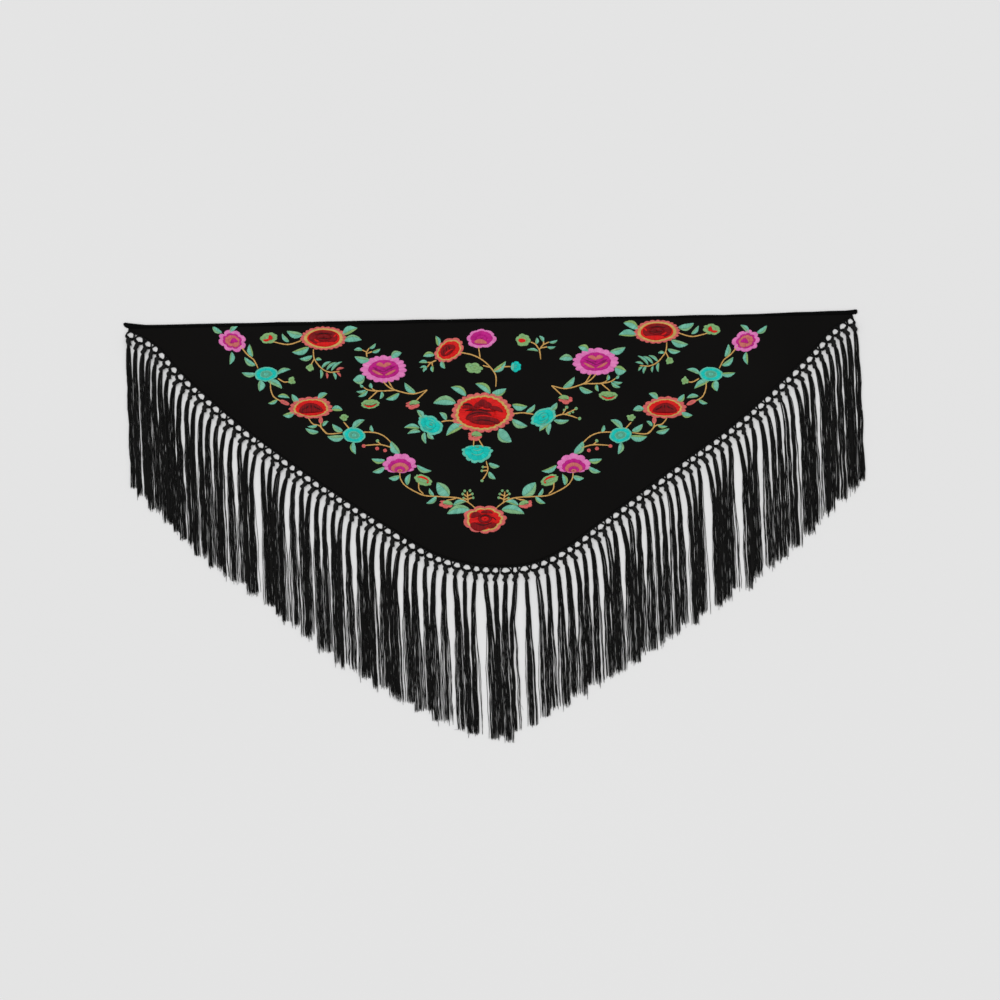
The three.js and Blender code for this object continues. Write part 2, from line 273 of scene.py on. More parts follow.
@dataclass
class MeshMaker:
    """Collects patches of faces and makes one joined mesh of them.

    Attributes:
        name: The finished piece's name.
        materials: Its materials, in slot order.
        patches: What has been added.
        count: How many points that has.
    """

    name: str
    materials: list
    patches: list = field(default_factory=list)
    count: int = 0

    def add(
        self,
        points: np.ndarray,
        quads: np.ndarray,
        uv: np.ndarray,
        tris: np.ndarray = np.zeros((0, 3), int),
        slot: int = 0,
        tone: Optional[np.ndarray] = None,
    ) -> None:
        """Adds a patch.

        Args:
            points: Corner points in drawing mm, (n, 3).
            quads: Corner numbers of four-sided faces, (m, 4).
            uv: Thread coordinates in mm for each point, (n, 2).
            tris: Corner numbers of three-sided faces, (k, 3).
            slot: The material slot of all its faces.
            tone: A value from 0 to 1 for each point that varies its thread's shade and, in thread
                materials, how strong its painted glints are.
        """
        tone = np.full(len(points), 0.5) if tone is None else tone
        self.patches.append((points, uv, tone, quads + self.count, tris + self.count, slot))
        self.count += len(points)

    def make(self, datum: np.ndarray, slot: str = "", node: str = "") -> Object:
        """Makes the piece, moved from the drawing's datum to the shared frame.

        Args:
            datum: Where the drawing's datum lies in the shared frame, in mm.
            slot: The name of a finish for the whole piece; not used.
            node: The solid that the piece stands for, if there is one.

        Returns:
            The new object, at the origin, with its place in its mesh.
        """
        points, coords, tones, quads, tris, slots = zip(*self.patches)
        numbers = [np.full(len(faces), s) for faces, s in zip(quads + tris, slots + slots)]
        quads, tris = np.concatenate(quads), np.concatenate(tris)
        corners = np.concatenate((quads.ravel(), tris.ravel()))
        starts = np.concatenate((np.arange(len(quads)) * 4, quads.size + np.arange(len(tris)) * 3))
        mesh = bpy.data.meshes.new(self.name)
        mesh.vertices.add(self.count)
        mesh.loops.add(len(corners))
        mesh.polygons.add(len(starts))
        for part, key, values, kind in (
            (mesh.vertices, "co", (np.concatenate(points) + datum) * MM, np.float32),
            (mesh.loops, "vertex_index", corners, np.int32),
            (mesh.polygons, "loop_start", starts, np.int32),
            (mesh.polygons, "material_index", np.concatenate(numbers), np.int32),
            (mesh.polygons, "use_smooth", np.ones(len(starts)), bool),
        ):
            part.foreach_set(key, values.astype(kind).ravel())
        uv = np.concatenate(coords)[corners] * MM
        mesh.uv_layers.new(name="Thread").data.foreach_set("uv", uv.astype(np.float32).ravel())
        tone = mesh.attributes.new("tone", "FLOAT", "POINT")
        tone.data.foreach_set("value", np.concatenate(tones).astype(np.float32))
        mesh.update()
        mesh.validate()
        for material in self.materials:
            mesh.materials.append(material)
        piece = show(self.name, mesh)
        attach(piece, "root")
        if node:
            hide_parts(node)
        LOG.info("%s: %d faces", self.name, len(starts))
        return piece


def grid_quads(rows: int, columns: int, round_columns: bool = False) -> np.ndarray:
    """The quads of a grid of points numbered row by row.

    Args:
        rows: How many rows of points.
        columns: How many points in a row.
        round_columns: Whether each row closes on itself.

    Returns:
        Corner numbers, (faces, 4).
    """
    r = np.arange(rows - 1)[:, None]
    c = np.arange(columns if round_columns else columns - 1)[None, :]
    n = (c + 1) % columns
    faces = (r * columns + c, (r + 1) * columns + c, (r + 1) * columns + n, r * columns + n)
    return np.stack(np.broadcast_arrays(*faces), axis=-1).reshape(-1, 4)


def end_fans(rings: int, sides: int) -> np.ndarray:
    """The three-sided faces that close the first and the last ring of a tube."""
    ring = np.arange(sides)
    fans = np.stack((np.full(sides - 2, 0), ring[1:-1], ring[2:]), axis=1)
    return np.concatenate((fans, fans[:, ::-1] + (rings - 1) * sides))


def add_tubes(
    maker: MeshMaker,
    paths: np.ndarray,
    radius: np.ndarray,
    sides: int,
    tone: np.ndarray,
    flatten: float = 1.0,
) -> None:
    """Adds closed tubes: each ring is a circle square to its path, cosine to the side and
    sine upwards, and both ends are capped.

    Args:
        maker: The mesh to add them to.
        paths: Middle lines, (tubes, rings, 3).
        radius: Radii, (tubes, rings).
        sides: Points round each ring, 3 or 4.
        tone: A shade for each tube, which also sets how strong its painted glints are.
        flatten: Height of a ring over its width.
    """
    tubes, rings, _ = paths.shape
    run = unit(np.gradient(paths, axis=1))
    aside = unit(np.cross(run, np.array([0.0, 0.0, 1.0])))
    up = np.cross(aside, run)
    turn = TAU * np.arange(sides) / sides + np.pi / 2
    wide = radius[:, :, None, None] * np.cos(turn)[None, None, :, None]
    high = radius[:, :, None, None] * np.sin(turn)[None, None, :, None] * flatten
    points = paths[:, :, None, :] + aside[:, :, None, :] * wide + up[:, :, None, :] * high
    each = rings * sides
    base = np.arange(tubes)[:, None, None] * each
    quads = (grid_quads(rings, sides, True)[None] + base).reshape(-1, 4)
    ends = np.stack([np.arange(sides), np.arange(sides)[::-1] + (rings - 1) * sides])
    caps = (ends[None] + base).reshape(-1, sides)
    steps = np.linalg.norm(np.diff(paths, axis=1), axis=2)
    length = np.concatenate((np.zeros((tubes, 1)), np.cumsum(steps, axis=1)), axis=1)
    u = np.broadcast_to(np.arange(sides) * 0.6, (tubes, rings, sides))
    v = np.broadcast_to(length[:, :, None], (tubes, rings, sides))
    uv = np.stack((u + 7.0 * np.arange(tubes)[:, None, None], v), axis=-1).reshape(-1, 2)
    faces = (np.concatenate((quads, caps)), uv) if sides == 4 else (quads, uv, caps)
    maker.add(points.reshape(-1, 3), *faces, tone=np.repeat(tone, each))


# Finishes.


@dataclass(frozen=True)
class ClothFinish:
    """The look of a dyed cloth or thread.

    Attributes:
        name: The material's name.
        dark: Its darker colour, linear.
        light: Its lighter colour, linear.
        roughness: How dull its shine is.
        shine: How strongly it mirrors light, 0.5 being usual.
        grain: The size of its weave or twist, in mm.
        relief: How deep that weave or twist is, in mm.
    """

    name: str
    dark: tuple
    light: tuple
    roughness: float
    shine: float
    grain: float
    relief: float


class Silk(Enum):
    """The embroidery's thread colours: darker and lighter strand, linear."""

    RED = ((0.48, 0.001, 0.002), (0.84, 0.008, 0.006))
    WINE = ((0.10, 0.0, 0.002), (0.30, 0.001, 0.004))
    SHADE = ((0.012, 0.0, 0.001), (0.07, 0.001, 0.002))
    SALMON = ((0.50, 0.075, 0.075), (0.76, 0.165, 0.15))
    GOLD = ((0.42, 0.26, 0.065), (0.68, 0.47, 0.14))
    PINK = ((0.60, 0.12, 0.38), (0.84, 0.25, 0.56))
    MAGENTA = ((0.34, 0.002, 0.15), (0.62, 0.012, 0.28))
    ROSE = ((0.46, 0.10, 0.09), (0.66, 0.19, 0.16))
    TURQUOISE = ((0.0, 0.37, 0.33), (0.002, 0.68, 0.58))
    AQUA = ((0.07, 0.40, 0.30), (0.15, 0.62, 0.47))
    SEA = ((0.06, 0.28, 0.19), (0.12, 0.42, 0.28))
    PLUM = ((0.15, 0.0, 0.06), (0.32, 0.004, 0.14))
    LEAF = ((0.09, 0.33, 0.24), (0.22, 0.60, 0.44))
    FERN = ((0.14, 0.33, 0.15), (0.28, 0.54, 0.29))
    OLIVE = ((0.17, 0.33, 0.09), (0.32, 0.50, 0.19))
    OCHRE = ((0.44, 0.24, 0.06), (0.72, 0.43, 0.14))
    SAGE = ((0.15, 0.33, 0.12), (0.28, 0.50, 0.21))

RED, WINE, SHADE, SALMON, GOLD, PINK, MAGENTA, ROSE, TURQUOISE = list(Silk)[:9]
AQUA, SEA, PLUM, LEAF, FERN, OLIVE, OCHRE, SAGE = list(Silk)[9:]
CREPE, HEM, FRINGE = read_rows(
    ClothFinish,
    ("crepe", (0.0024, 0.0022, 0.0021), (0.0062, 0.0057, 0.0053), 0.92, 0.06, 0.9, 0.16),
    # The hem and fringe threads' lighter colours show mostly in painted glints, highlights that
    # thread_material lays into their colour.
    ("hem_thread", (0.0014, 0.0013, 0.0013), (0.0034, 0.0032, 0.0032), 0.85, 0.05, 0.8, 0.2),
    ("fringe_thread", (0.0032, 0.0032, 0.0031), (0.036, 0.036, 0.034), 0.6, 0.14, 0.7, 0.15),
)
SILK_STRAND = 0.75
SILK_RELIEF = 0.12
SILK_ROUGHNESS = 0.42
SILK_SHINE = 0.16


class NodeBoard:
    """Builds a material's nodes with short calls."""

    def __init__(self, name: str) -> None:
        self.material = bpy.data.materials.new(name)
        self.material.use_nodes = True
        self.tree = self.material.node_tree

    def node(self, kind: str, **settings) -> Node:
        """Adds a node and sets its own settings."""
        made = self.tree.nodes.new(kind)
        for key, value in settings.items():
            setattr(made, key, value)
        return made

    def feed(self, made: Node, **values) -> Node:
        """Gives a node's sockets, by their names with _ for a space, values or links."""
        for key, value in values.items():
            socket = made.inputs[key.replace("_", " ")]
            if isinstance(value, NodeSocket):
                self.tree.links.new(value, socket)
            else:
                socket.default_value = value
        return made

    def math(self, operation: str, first: NodeSocket, second: float) -> NodeSocket:
        """A sum on a socket and a socket or number, and its result."""
        made = self.node("ShaderNodeMath", operation=operation)
        for socket, value in zip(made.inputs, (first, second)):
            if isinstance(value, NodeSocket):
                self.tree.links.new(value, socket)
            else:
                socket.default_value = value
        return made.outputs[0]

    def weighed(self, first: NodeSocket, a: float, second: NodeSocket, b: float) -> NodeSocket:
        """The sum of two patterns, each times its weight."""
        parts = (self.math("MULTIPLY", p, weight) for p, weight in ((first, a), (second, b)))
        return self.math("ADD", *parts)

    def noise(self, vector: NodeSocket, scale: float, detail: float, *stretch) -> NodeSocket:
        """A cloud pattern, 0 to 1, its coordinates first scaled by axis if stretch says so."""
        if stretch:
            mapping = self.node("ShaderNodeMapping")
            vector = self.feed(mapping, Scale=stretch, Vector=vector).outputs[0]
        made = self.node("ShaderNodeTexNoise")
        return self.feed(made, Scale=scale, Detail=detail, Vector=vector).outputs["Fac"]

    def twist(self, uv: NodeSocket, way: str, size: float, distortion: float) -> NodeSocket:
        """Ridges of a size in mm across the thread coordinates."""
        made = self.node("ShaderNodeTexWave", wave_type="BANDS", bands_direction=way)
        scale = 0.3 / (size * MM)
        return self.feed(made, Scale=scale, Distortion=distortion, Vector=uv).outputs["Fac"]

    def finish(
        self,
        share: NodeSocket,
        colours: tuple,
        roughness: float,
        shine: float,
        height: Optional[NodeSocket] = None,
        depth: float = 0.0,
    ) -> Material:
        """Sets the shader.

        Args:
            share: Where the colour lies between the two.
            colours: The darker and the lighter colour, linear.
            roughness: How dull the shine is.
            shine: How strongly the finish mirrors light.
            height: The pattern of its relief.
            depth: How deep that is, in mm.

        Returns:
            The finished material.
        """
        blend = self.node("ShaderNodeMix", data_type="RGBA")
        ends = [s for s in blend.inputs if s.type == "RGBA"]
        for socket, colour in zip(ends, colours):
            socket.default_value = (*colour, 1.0)
        self.tree.links.new(share, blend.inputs[0])
        shader = self.feed(self.tree.nodes["Principled BSDF"], Roughness=roughness)
        shader.inputs["Specular IOR Level"].default_value = shine
        colour = next(s for s in blend.outputs if s.type == "RGBA")
        self.feed(shader, Base_Color=colour)
        if height:
            bump = self.node("ShaderNodeBump")
            self.feed(bump, Strength=1.0, Distance=depth * MM, Height=height)
            self.feed(shader, Normal=bump.outputs[0])
        return self.material


def crepe_material(finish: ClothFinish) -> Material:
    """Crepe: a grain of twisted threads from two crossed patterns of noise, with slow
    cloudy changes of shade from handling."""
    board = NodeBoard(finish.name)
    where = board.node("ShaderNodeTexCoord").outputs["Object"]
    fine = 1.0 / (finish.grain * MM)
    pebble = board.noise(where, fine, 2.0, 1.0, 0.7, 1.0)
    cross = board.noise(where, fine * 0.8, 1.0, 0.25, 1.6, 1.0)
    grain = board.math("MULTIPLY", board.math("ADD", pebble, cross), 0.6)
    share = board.weighed(grain, 0.45, board.noise(where, 5.0, 3.0), 0.55)
    colours = (finish.dark, finish.light)
    return board.finish(share, colours, finish.roughness, finish.shine, grain, finish.relief)


def thread_material(finish: ClothFinish) -> Material:
    """Dyed thread: a twist that winds along it, a shade of its own for each thread, and painted
    glints, short lighter flecks in its colour that stand for highlights.
    """
    board = NodeBoard(finish.name)
    uv = board.node("ShaderNodeUVMap", uv_map="Thread").outputs[0]
    tone = board.node("ShaderNodeAttribute", attribute_name="tone").outputs["Fac"]
    twist = board.twist(uv, "DIAGONAL", finish.grain, 1.2)
    # Painted highlights: thresholded noise drawn out along the thread lightens its colour in short
    # glints.
    glint_flecks = board.math("SUBTRACT", board.noise(uv, 1.0, 1.0, 700.0, 130.0, 1.0), 0.6)
    glint = board.math("MAXIMUM", board.math("MULTIPLY", glint_flecks, 5.0), 0.0)
    share = board.math("MULTIPLY", tone, board.math("ADD", glint, 0.3))
    share = board.math("MINIMUM", share, 1.0)
    colours = (finish.dark, finish.light)
    return board.finish(share, colours, finish.roughness, finish.shine, twist, finish.relief)


def silk_material(colour: Silk) -> Material:
    """Satin stitches: a ridge for each strand across the stitch, each strand of its own
    shade from noise drawn out along the thread, with a silky shine."""
    board = NodeBoard("silk_" + colour.name.lower())
    uv = board.node("ShaderNodeUVMap", uv_map="Thread").outputs[0]
    ridge = board.twist(uv, "X", SILK_STRAND, 0.6)
    strand = board.noise(uv, 1.0, 2.0, 520.0, 26.0, 1.0)
    patch = board.noise(uv, 1.0, 1.0, 130.0, 60.0, 1.0)
    mixed = board.math("MULTIPLY", board.weighed(strand, 0.9, patch, 0.6), 2.0)
    share = board.math("MAXIMUM", board.math("SUBTRACT", mixed, 1.0), 0.0)
    share = board.math("MINIMUM", share, 1.0)
    return board.finish(share, colour.value, SILK_ROUGHNESS, SILK_SHINE, ridge, SILK_RELIEF)


# Cloth and hem.


@dataclass
class Panel:
    """The crepe panel: a thin closed shell over the floor.

    Attributes:
        cut: The shawl's cut.
        columns: Steps along the short sides for each tassel.
        rows: Steps from the long edge to the short sides.
    """

    cut: Cut
    columns: int = 3
    rows: int = 60

    def build(self) -> Object:
        """Builds the shell. A point of row r and column c lies on the straight line down
        from the long edge, at the share r / rows of the way to the short side, lifted by
        the cloth's ridges, with an upper and an under layer.

        Returns:
            The panel.
        """
        shape = (self.rows + 1, TASSELS * self.columns + 1)
        foot = self.cut.point(np.linspace(0, self.cut.length, shape[1]))
        x = np.broadcast_to(foot[:, 0], shape)
        y = np.linspace(0, 1, shape[0])[:, None] * foot[:, 1]
        lift = self.cut.surface(x, y)
        layers = (lift + CLOTH_TOP, self.cut.under(lift))
        points = np.concatenate([np.stack((x, y, z), axis=-1).reshape(-1, 3) for z in layers])
        faces = grid_quads(*shape)
        numbers = np.arange(x.size).reshape(shape)
        sides = (numbers[0], numbers[1:, -1], numbers[-1, -2::-1], numbers[-2:0:-1, 0])
        rim = np.concatenate(sides)
        after = np.roll(rim, -1)
        wall = np.stack((rim, after, after + x.size, rim + x.size), axis=1)
        maker = MeshMaker("crepe_panel", [crepe_material(CREPE)])
        shell = np.concatenate((faces, faces[:, ::-1] + x.size, wall))
        maker.add(points, shell, points[:, :2].copy())
        return maker.make(self.cut.datum, "crepe", "cloth_panel")


@dataclass
class Hem:
    """The rolled hem on the long edge, oversewn with slanting stitches.

    Attributes:
        cut: The shawl's cut.
        stitch: How far apart the stitches are.
        swell: How much the roll swells between them, as a share.
        step: How far apart its rings are.
        sides: How many points a ring has.
        middle: How high its middle lies.
        half_height: How far it reaches above and below that.
        tip_share: How slim its first and last rings are, as a share.
    """

    cut: Cut
    stitch: float = 3.4
    swell: float = 0.07
    step: float = 0.85
    sides: int = 10
    middle: float = 1.25
    half_height: float = 0.98
    tip_share: float = 0.7

    def sections(self) -> np.ndarray:
        """The hem's sections as the solids have them: its places, and between them even
        steps whose width waves by a product of two sines.

        Returns:
            Rows of across, rise and width.
        """
        sections = []
        for a, b in zip(HEM_PLACES[:-1], HEM_PLACES[1:]):
            steps = max(1, round((b.across - a.across) / HEM_STEP))
            share = np.arange(steps) / steps
            across = a.across + (b.across - a.across) * share
            wave = HEM_WAVE * np.sin(across * 0.063) * np.sin(across * 0.012) * (share > 0)
            rise = a.rise + (b.rise - a.rise) * share
            width = a.width + (b.width - a.width) * share + wave
            sections.append(np.stack((across, rise, width), axis=1))
        last = HEM_PLACES[-1]
        return np.concatenate((*sections, [[last.across, last.rise, last.width]]))

    def build(self) -> Object:
        """Builds the roll: rings along the edge, each an ellipse whose size swells with
        every stitch, the swell slanting round the roll. Its foot laps a little over the
        cloth's edge and its top follows the measured places.

        Returns:
            The hem.
        """
        across, rise, wide = self.sections().T
        x = np.arange(across[0], across[-1], self.step)[:, None]
        turn = (TAU * np.arange(self.sides) / self.sides)[None, :]
        foot = HEM_INNER + np.interp(x, across, rise) - HEM_LAP
        width = np.interp(x, across, wide) + HEM_LAP
        swell = 1 + self.swell * np.cos(TAU * x / self.stitch + turn)
        swell = swell * np.where((x < x[0] + 1) | (x > x[-1] - 1.5), self.tip_share, 1.0)
        y = foot + width / 2 + (width / 2 - 0.1) * swell * np.cos(turn)
        z = self.middle + self.half_height * swell * np.sin(turn)
        points = np.stack((x + 0 * turn, y, z), axis=-1).reshape(-1, 3)
        quads = grid_quads(len(x), self.sides, True)[:, ::-1]
        uv = np.stack((x + 0 * turn, turn * 1.2 + 0 * x), axis=-1).reshape(-1, 2)
        maker = MeshMaker("rolled_hem", [thread_material(HEM)])
        maker.add(points, quads, uv, tris=end_fans(len(x), self.sides))
        return maker.make(self.cut.datum, "hem_thread", "long_edge_hem")


# Net, knots and tassels.


class Falls:
    """Where every tassel starts and how it turns to hang, as the solids have it."""

    def __init__(self, cut: Cut) -> None:
        i = np.arange(TASSELS)
        s = (i + 0.5) * cut.pitch
        self.outward = cut.outward(s)
        self.start = cut.off(s, KNOT_SEAT_OUT)
        hangs = self.start[:, 0] + TURN_MOST * self.outward[:, 0]
        hangs[0] = SHORT_SIDES[0].across - 1
        hangs[-1] = SHORT_SIDES[-1].across + 5
        for k in range(1, TASSELS // 2):
            hangs[k] = max(hangs[k], hangs[k - 1] + FALL_SPACING)
            hangs[-1 - k] = min(hangs[-1 - k], hangs[-k] - FALL_SPACING)
        sloping = np.abs(self.outward[:, 0]) > 0.1
        slope = np.where(sloping, self.outward[:, 0], 1.0)
        turn = np.where(sloping, (hangs - self.start[:, 0]) / slope, TURN_MOST)
        self.turn = np.clip(turn, TURN_LEAST, TURN_MOST)
        self.fall = np.array([FALL_ACROSS, -1.0]) / math.hypot(FALL_ACROSS, 1.0)
        settled = self.start + self.turn[:, None] * self.outward
        foot = np.interp(settled[:, 0], *zip(*((p.across, p.down) for p in FRINGE_FOOT)))
        foot += UNEVEN_ENDS * np.sin(i * 2.7)
        self.length = self.turn + (foot + settled[:, 1]) / -self.fall[1]
        self.lean = np.zeros(TASSELS)
        self.draw_in = np.zeros(TASSELS)
        self.gather(hangs)
        apart = np.clip(np.diff(hangs + self.lean) - 10, 0, 10)
        self.free_left = np.concatenate(([0.0], apart))
        self.free_right = np.concatenate((apart, [0.0]))
        inward = 1 - np.abs(2 * i / (TASSELS - 1) - 1)
        self.sway = SWAY * inward * np.sin(i * 1.7) * np.sin(i * 0.53)

    def gather(self, hangs: np.ndarray) -> None:
        """Sets how far each tassel leans towards the middle of its group. A new group
        starts where the sum of two waves out of step is over a limit.

        Args:
            hangs: Where each tassel would hang of itself, across.
        """
        i = np.arange(TASSELS)
        starts = np.sin(i * 1.7) + 0.8 * np.sin(i * 0.47 + 2) > -0.1
        starts[0] = True
        edges = np.append(np.nonzero(starts)[0], TASSELS)
        for first, end in zip(edges[:-1], edges[1:]):
            before, after = max(0, first - 1), min(TASSELS - 1, end)
            spacing = (hangs[after] - hangs[before]) / (after - before)
            step = min(spacing, max(GROUP_CLOSEST, GROUP_GATHER * spacing))
            room = 2 * min(0.5, max(0.0, (spacing - FALL_SPACING) / FALL_SPACING))
            middle = (hangs[first] + hangs[end - 1]) / 2
            place = np.arange(end - first) - (end - first - 1) / 2
            drift = room * GROUP_DRIFT * math.sin(first * 2.9)
            self.lean[first:end] = middle + place * step - hangs[first:end] + drift
            self.draw_in[first:end] = -place * min(step - 9.0, 1.6)

    def line(self, which: np.ndarray, t: np.ndarray) -> tuple:
        """The middle lines of tassels: straight out at first, the turn dying away
        exponentially over its length, then straight down the fall.

        Args:
            which: Tassel numbers, (n,).
            t: Distances along each, (n, rings).

        Returns:
            Points (n, rings, 2) and the unit directions to their side (n, rings, 2).
        """
        turn = self.turn[which][:, None]
        turned = turn * (1 - np.exp(-t / turn))
        out = self.outward[which][:, None, :]
        points = self.start[which][:, None, :] + out * turned[..., None]
        points = points + self.fall * (t - turned)[..., None]
        share = np.exp(-t / turn)[..., None]
        run = unit(out * share + self.fall * (1 - share))
        lean = self.lean[which][:, None] * smooth(t / GROUP_LENGTH)
        lean = lean + self.sway[which][:, None] * smooth(t / self.length[which][:, None])
        points[..., 0] += lean
        return points, np.stack((-run[..., 1], run[..., 0]), axis=-1)


@dataclass(frozen=True)
class Run:
    """A run of tassels of one side, from the first to the one before end."""

    side: str
    first: int
    end: int

    @property
    def node(self) -> str:
        """The solid that the run belongs to."""
        return "fringe_" + self.side

    @property
    def numbers(self) -> np.ndarray:
        """The tassels' numbers."""
        return np.arange(self.first, self.end)


@dataclass(frozen=True)
class NetStep:
    """A step along the net's threads, in mm: how far the threads next to the bundle's
    middle and those next to the mesh are from that middle and out from the cloth, how high
    they lie, how much the bundle swings there and how far its two halves may part."""

    near_across: float
    near_out: float
    far_across: float
    far_out: float
    height: float
    swing: float
    parting: float


NET_STEPS = read_rows(
    NetStep,
    (0.4, -2, 8, -2, 1, 0, 0), (0.3, -0.5, 8.3, -0.5, 2.2, 0, 0.4), (0.3, 1, 7.6, 0.8, 2.8, 0, 1),
    (0.3, 2.9, 5.3, 2.2, 2.3, 0.3, 1), (0.3, 4.9, 3.9, 4.2, 1.8, 0.7, 0.3),
    (0.3, 7.4, 2.9, 6.4, 1.5, 1, 0), (0.3, 10.8, 2.5, 8.2, 1.5, 0.9, 0),
    (1, 13, 4.2, 9.4, 1.8, 0.5, 0), (3, 14.3, 6.4, 10, 2.4, 0.2, 0),
    (5.4, 14.9, 7.9, 10.5, 3, 0, 0), (7.3, 15.5, 8.5, 12.2, 3.4, 0, 0),
)


@dataclass
class Net:
    """The heading of the fringe on one side: the rolled edge and the threads that gather
    from the cloth, part over each mesh and meet in the knots.

    Attributes:
        cut: The shawl's cut.
        run: The tassels that it carries.
        strands: How many threads go to each side of a bundle.
        roll_rings: Steps along the rolled edge for each tassel.
        roll: The rolled edge's radius, and thread the radius of a thread.
        swung: How far bundles swing along the edge.
        parted: The range that the parting of a bundle is drawn from; less than 0 is none.
        ragged: How unevenly threads lie where they don't swing, and steady the most swing
            that counts as that.
        wavy: How much threads differ in height.
        lowest: The least height of a thread's middle.
    """

    cut: Cut
    run: Run
    strands: int = 8
    roll_rings: int = 5
    roll: float = 1.2
    thread: float = 0.58
    swung: float = 0.9
    parted: tuple = (-1.2, 1.6)
    ragged: float = 0.25
    steady: float = 0.3
    wavy: float = 0.3
    lowest: float = 0.75

    def build(self) -> Object:
        """Builds the threads as tubes. Each starts on the cloth, goes over the rolled edge,
        draws in to its bundle between two meshes and crosses below a mesh to its knot. A
        thread's steps lie between the table's near and far ones by its share, and each
        bundle swings a little along the edge.

        Returns:
            The net of this side.
        """
        first, end, pitch = self.run.first, self.run.end, self.cut.pitch
        rng = np.random.default_rng(SEED + first)
        maker = MeshMaker("net_" + self.run.side, [thread_material(FRINGE)])
        s = np.linspace(first * pitch, end * pitch, (end - first) * self.roll_rings)
        roll = np.concatenate((self.cut.off(s, 0.6), np.full((len(s), 1), 1.35)), axis=1)
        wobble = 0.12 * np.sin(s * 2.1)
        add_tubes(maker, roll[None], (self.roll + wobble)[None], 4, np.array([0.1]), 0.95)
        steps = np.array([list(vars(step).values()) for step in NET_STEPS]).T
        near_across, near_out, far_across, far_out, height, swing, parting = steps
        share = (np.arange(self.strands) + 0.5) / self.strands
        across = near_across + np.outer(share, far_across - near_across)
        out = near_out + np.outer(share, far_out - near_out)
        paths = []
        for i in range(first, end + 1):
            swung = rng.normal(0, self.swung) * swing
            parted = max(0.0, rng.uniform(*self.parted)) * np.outer(1 - share, parting)
            for hand in (-1.0, 1.0):
                if (i == first and hand < 0) or (i == end and hand > 0):
                    continue
                ragged = rng.normal(0, self.ragged, (self.strands, 1)) * (swing < self.steady)
                reach = hand * (across + ragged + parted)
                place = np.clip(i * pitch + reach + swung, 0, self.cut.length)
                z = height + self.wavy * np.sin(share * 14 + i)[:, None]
                z = np.maximum(z + rng.normal(0, 0.08, z.shape), self.lowest)
                flat = self.cut.off(place, out[..., None])
                paths.append(np.concatenate((flat, z[..., None]), axis=-1))
        paths = np.concatenate(paths)
        radius = np.full(paths.shape[:2], self.thread) * rng.uniform(0.85, 1.1, (len(paths), 1))
        add_tubes(maker, paths, radius, 3, rng.uniform(0.0, 0.3, len(paths)))
        return maker.make(self.cut.datum, "fringe_thread", self.run.node)


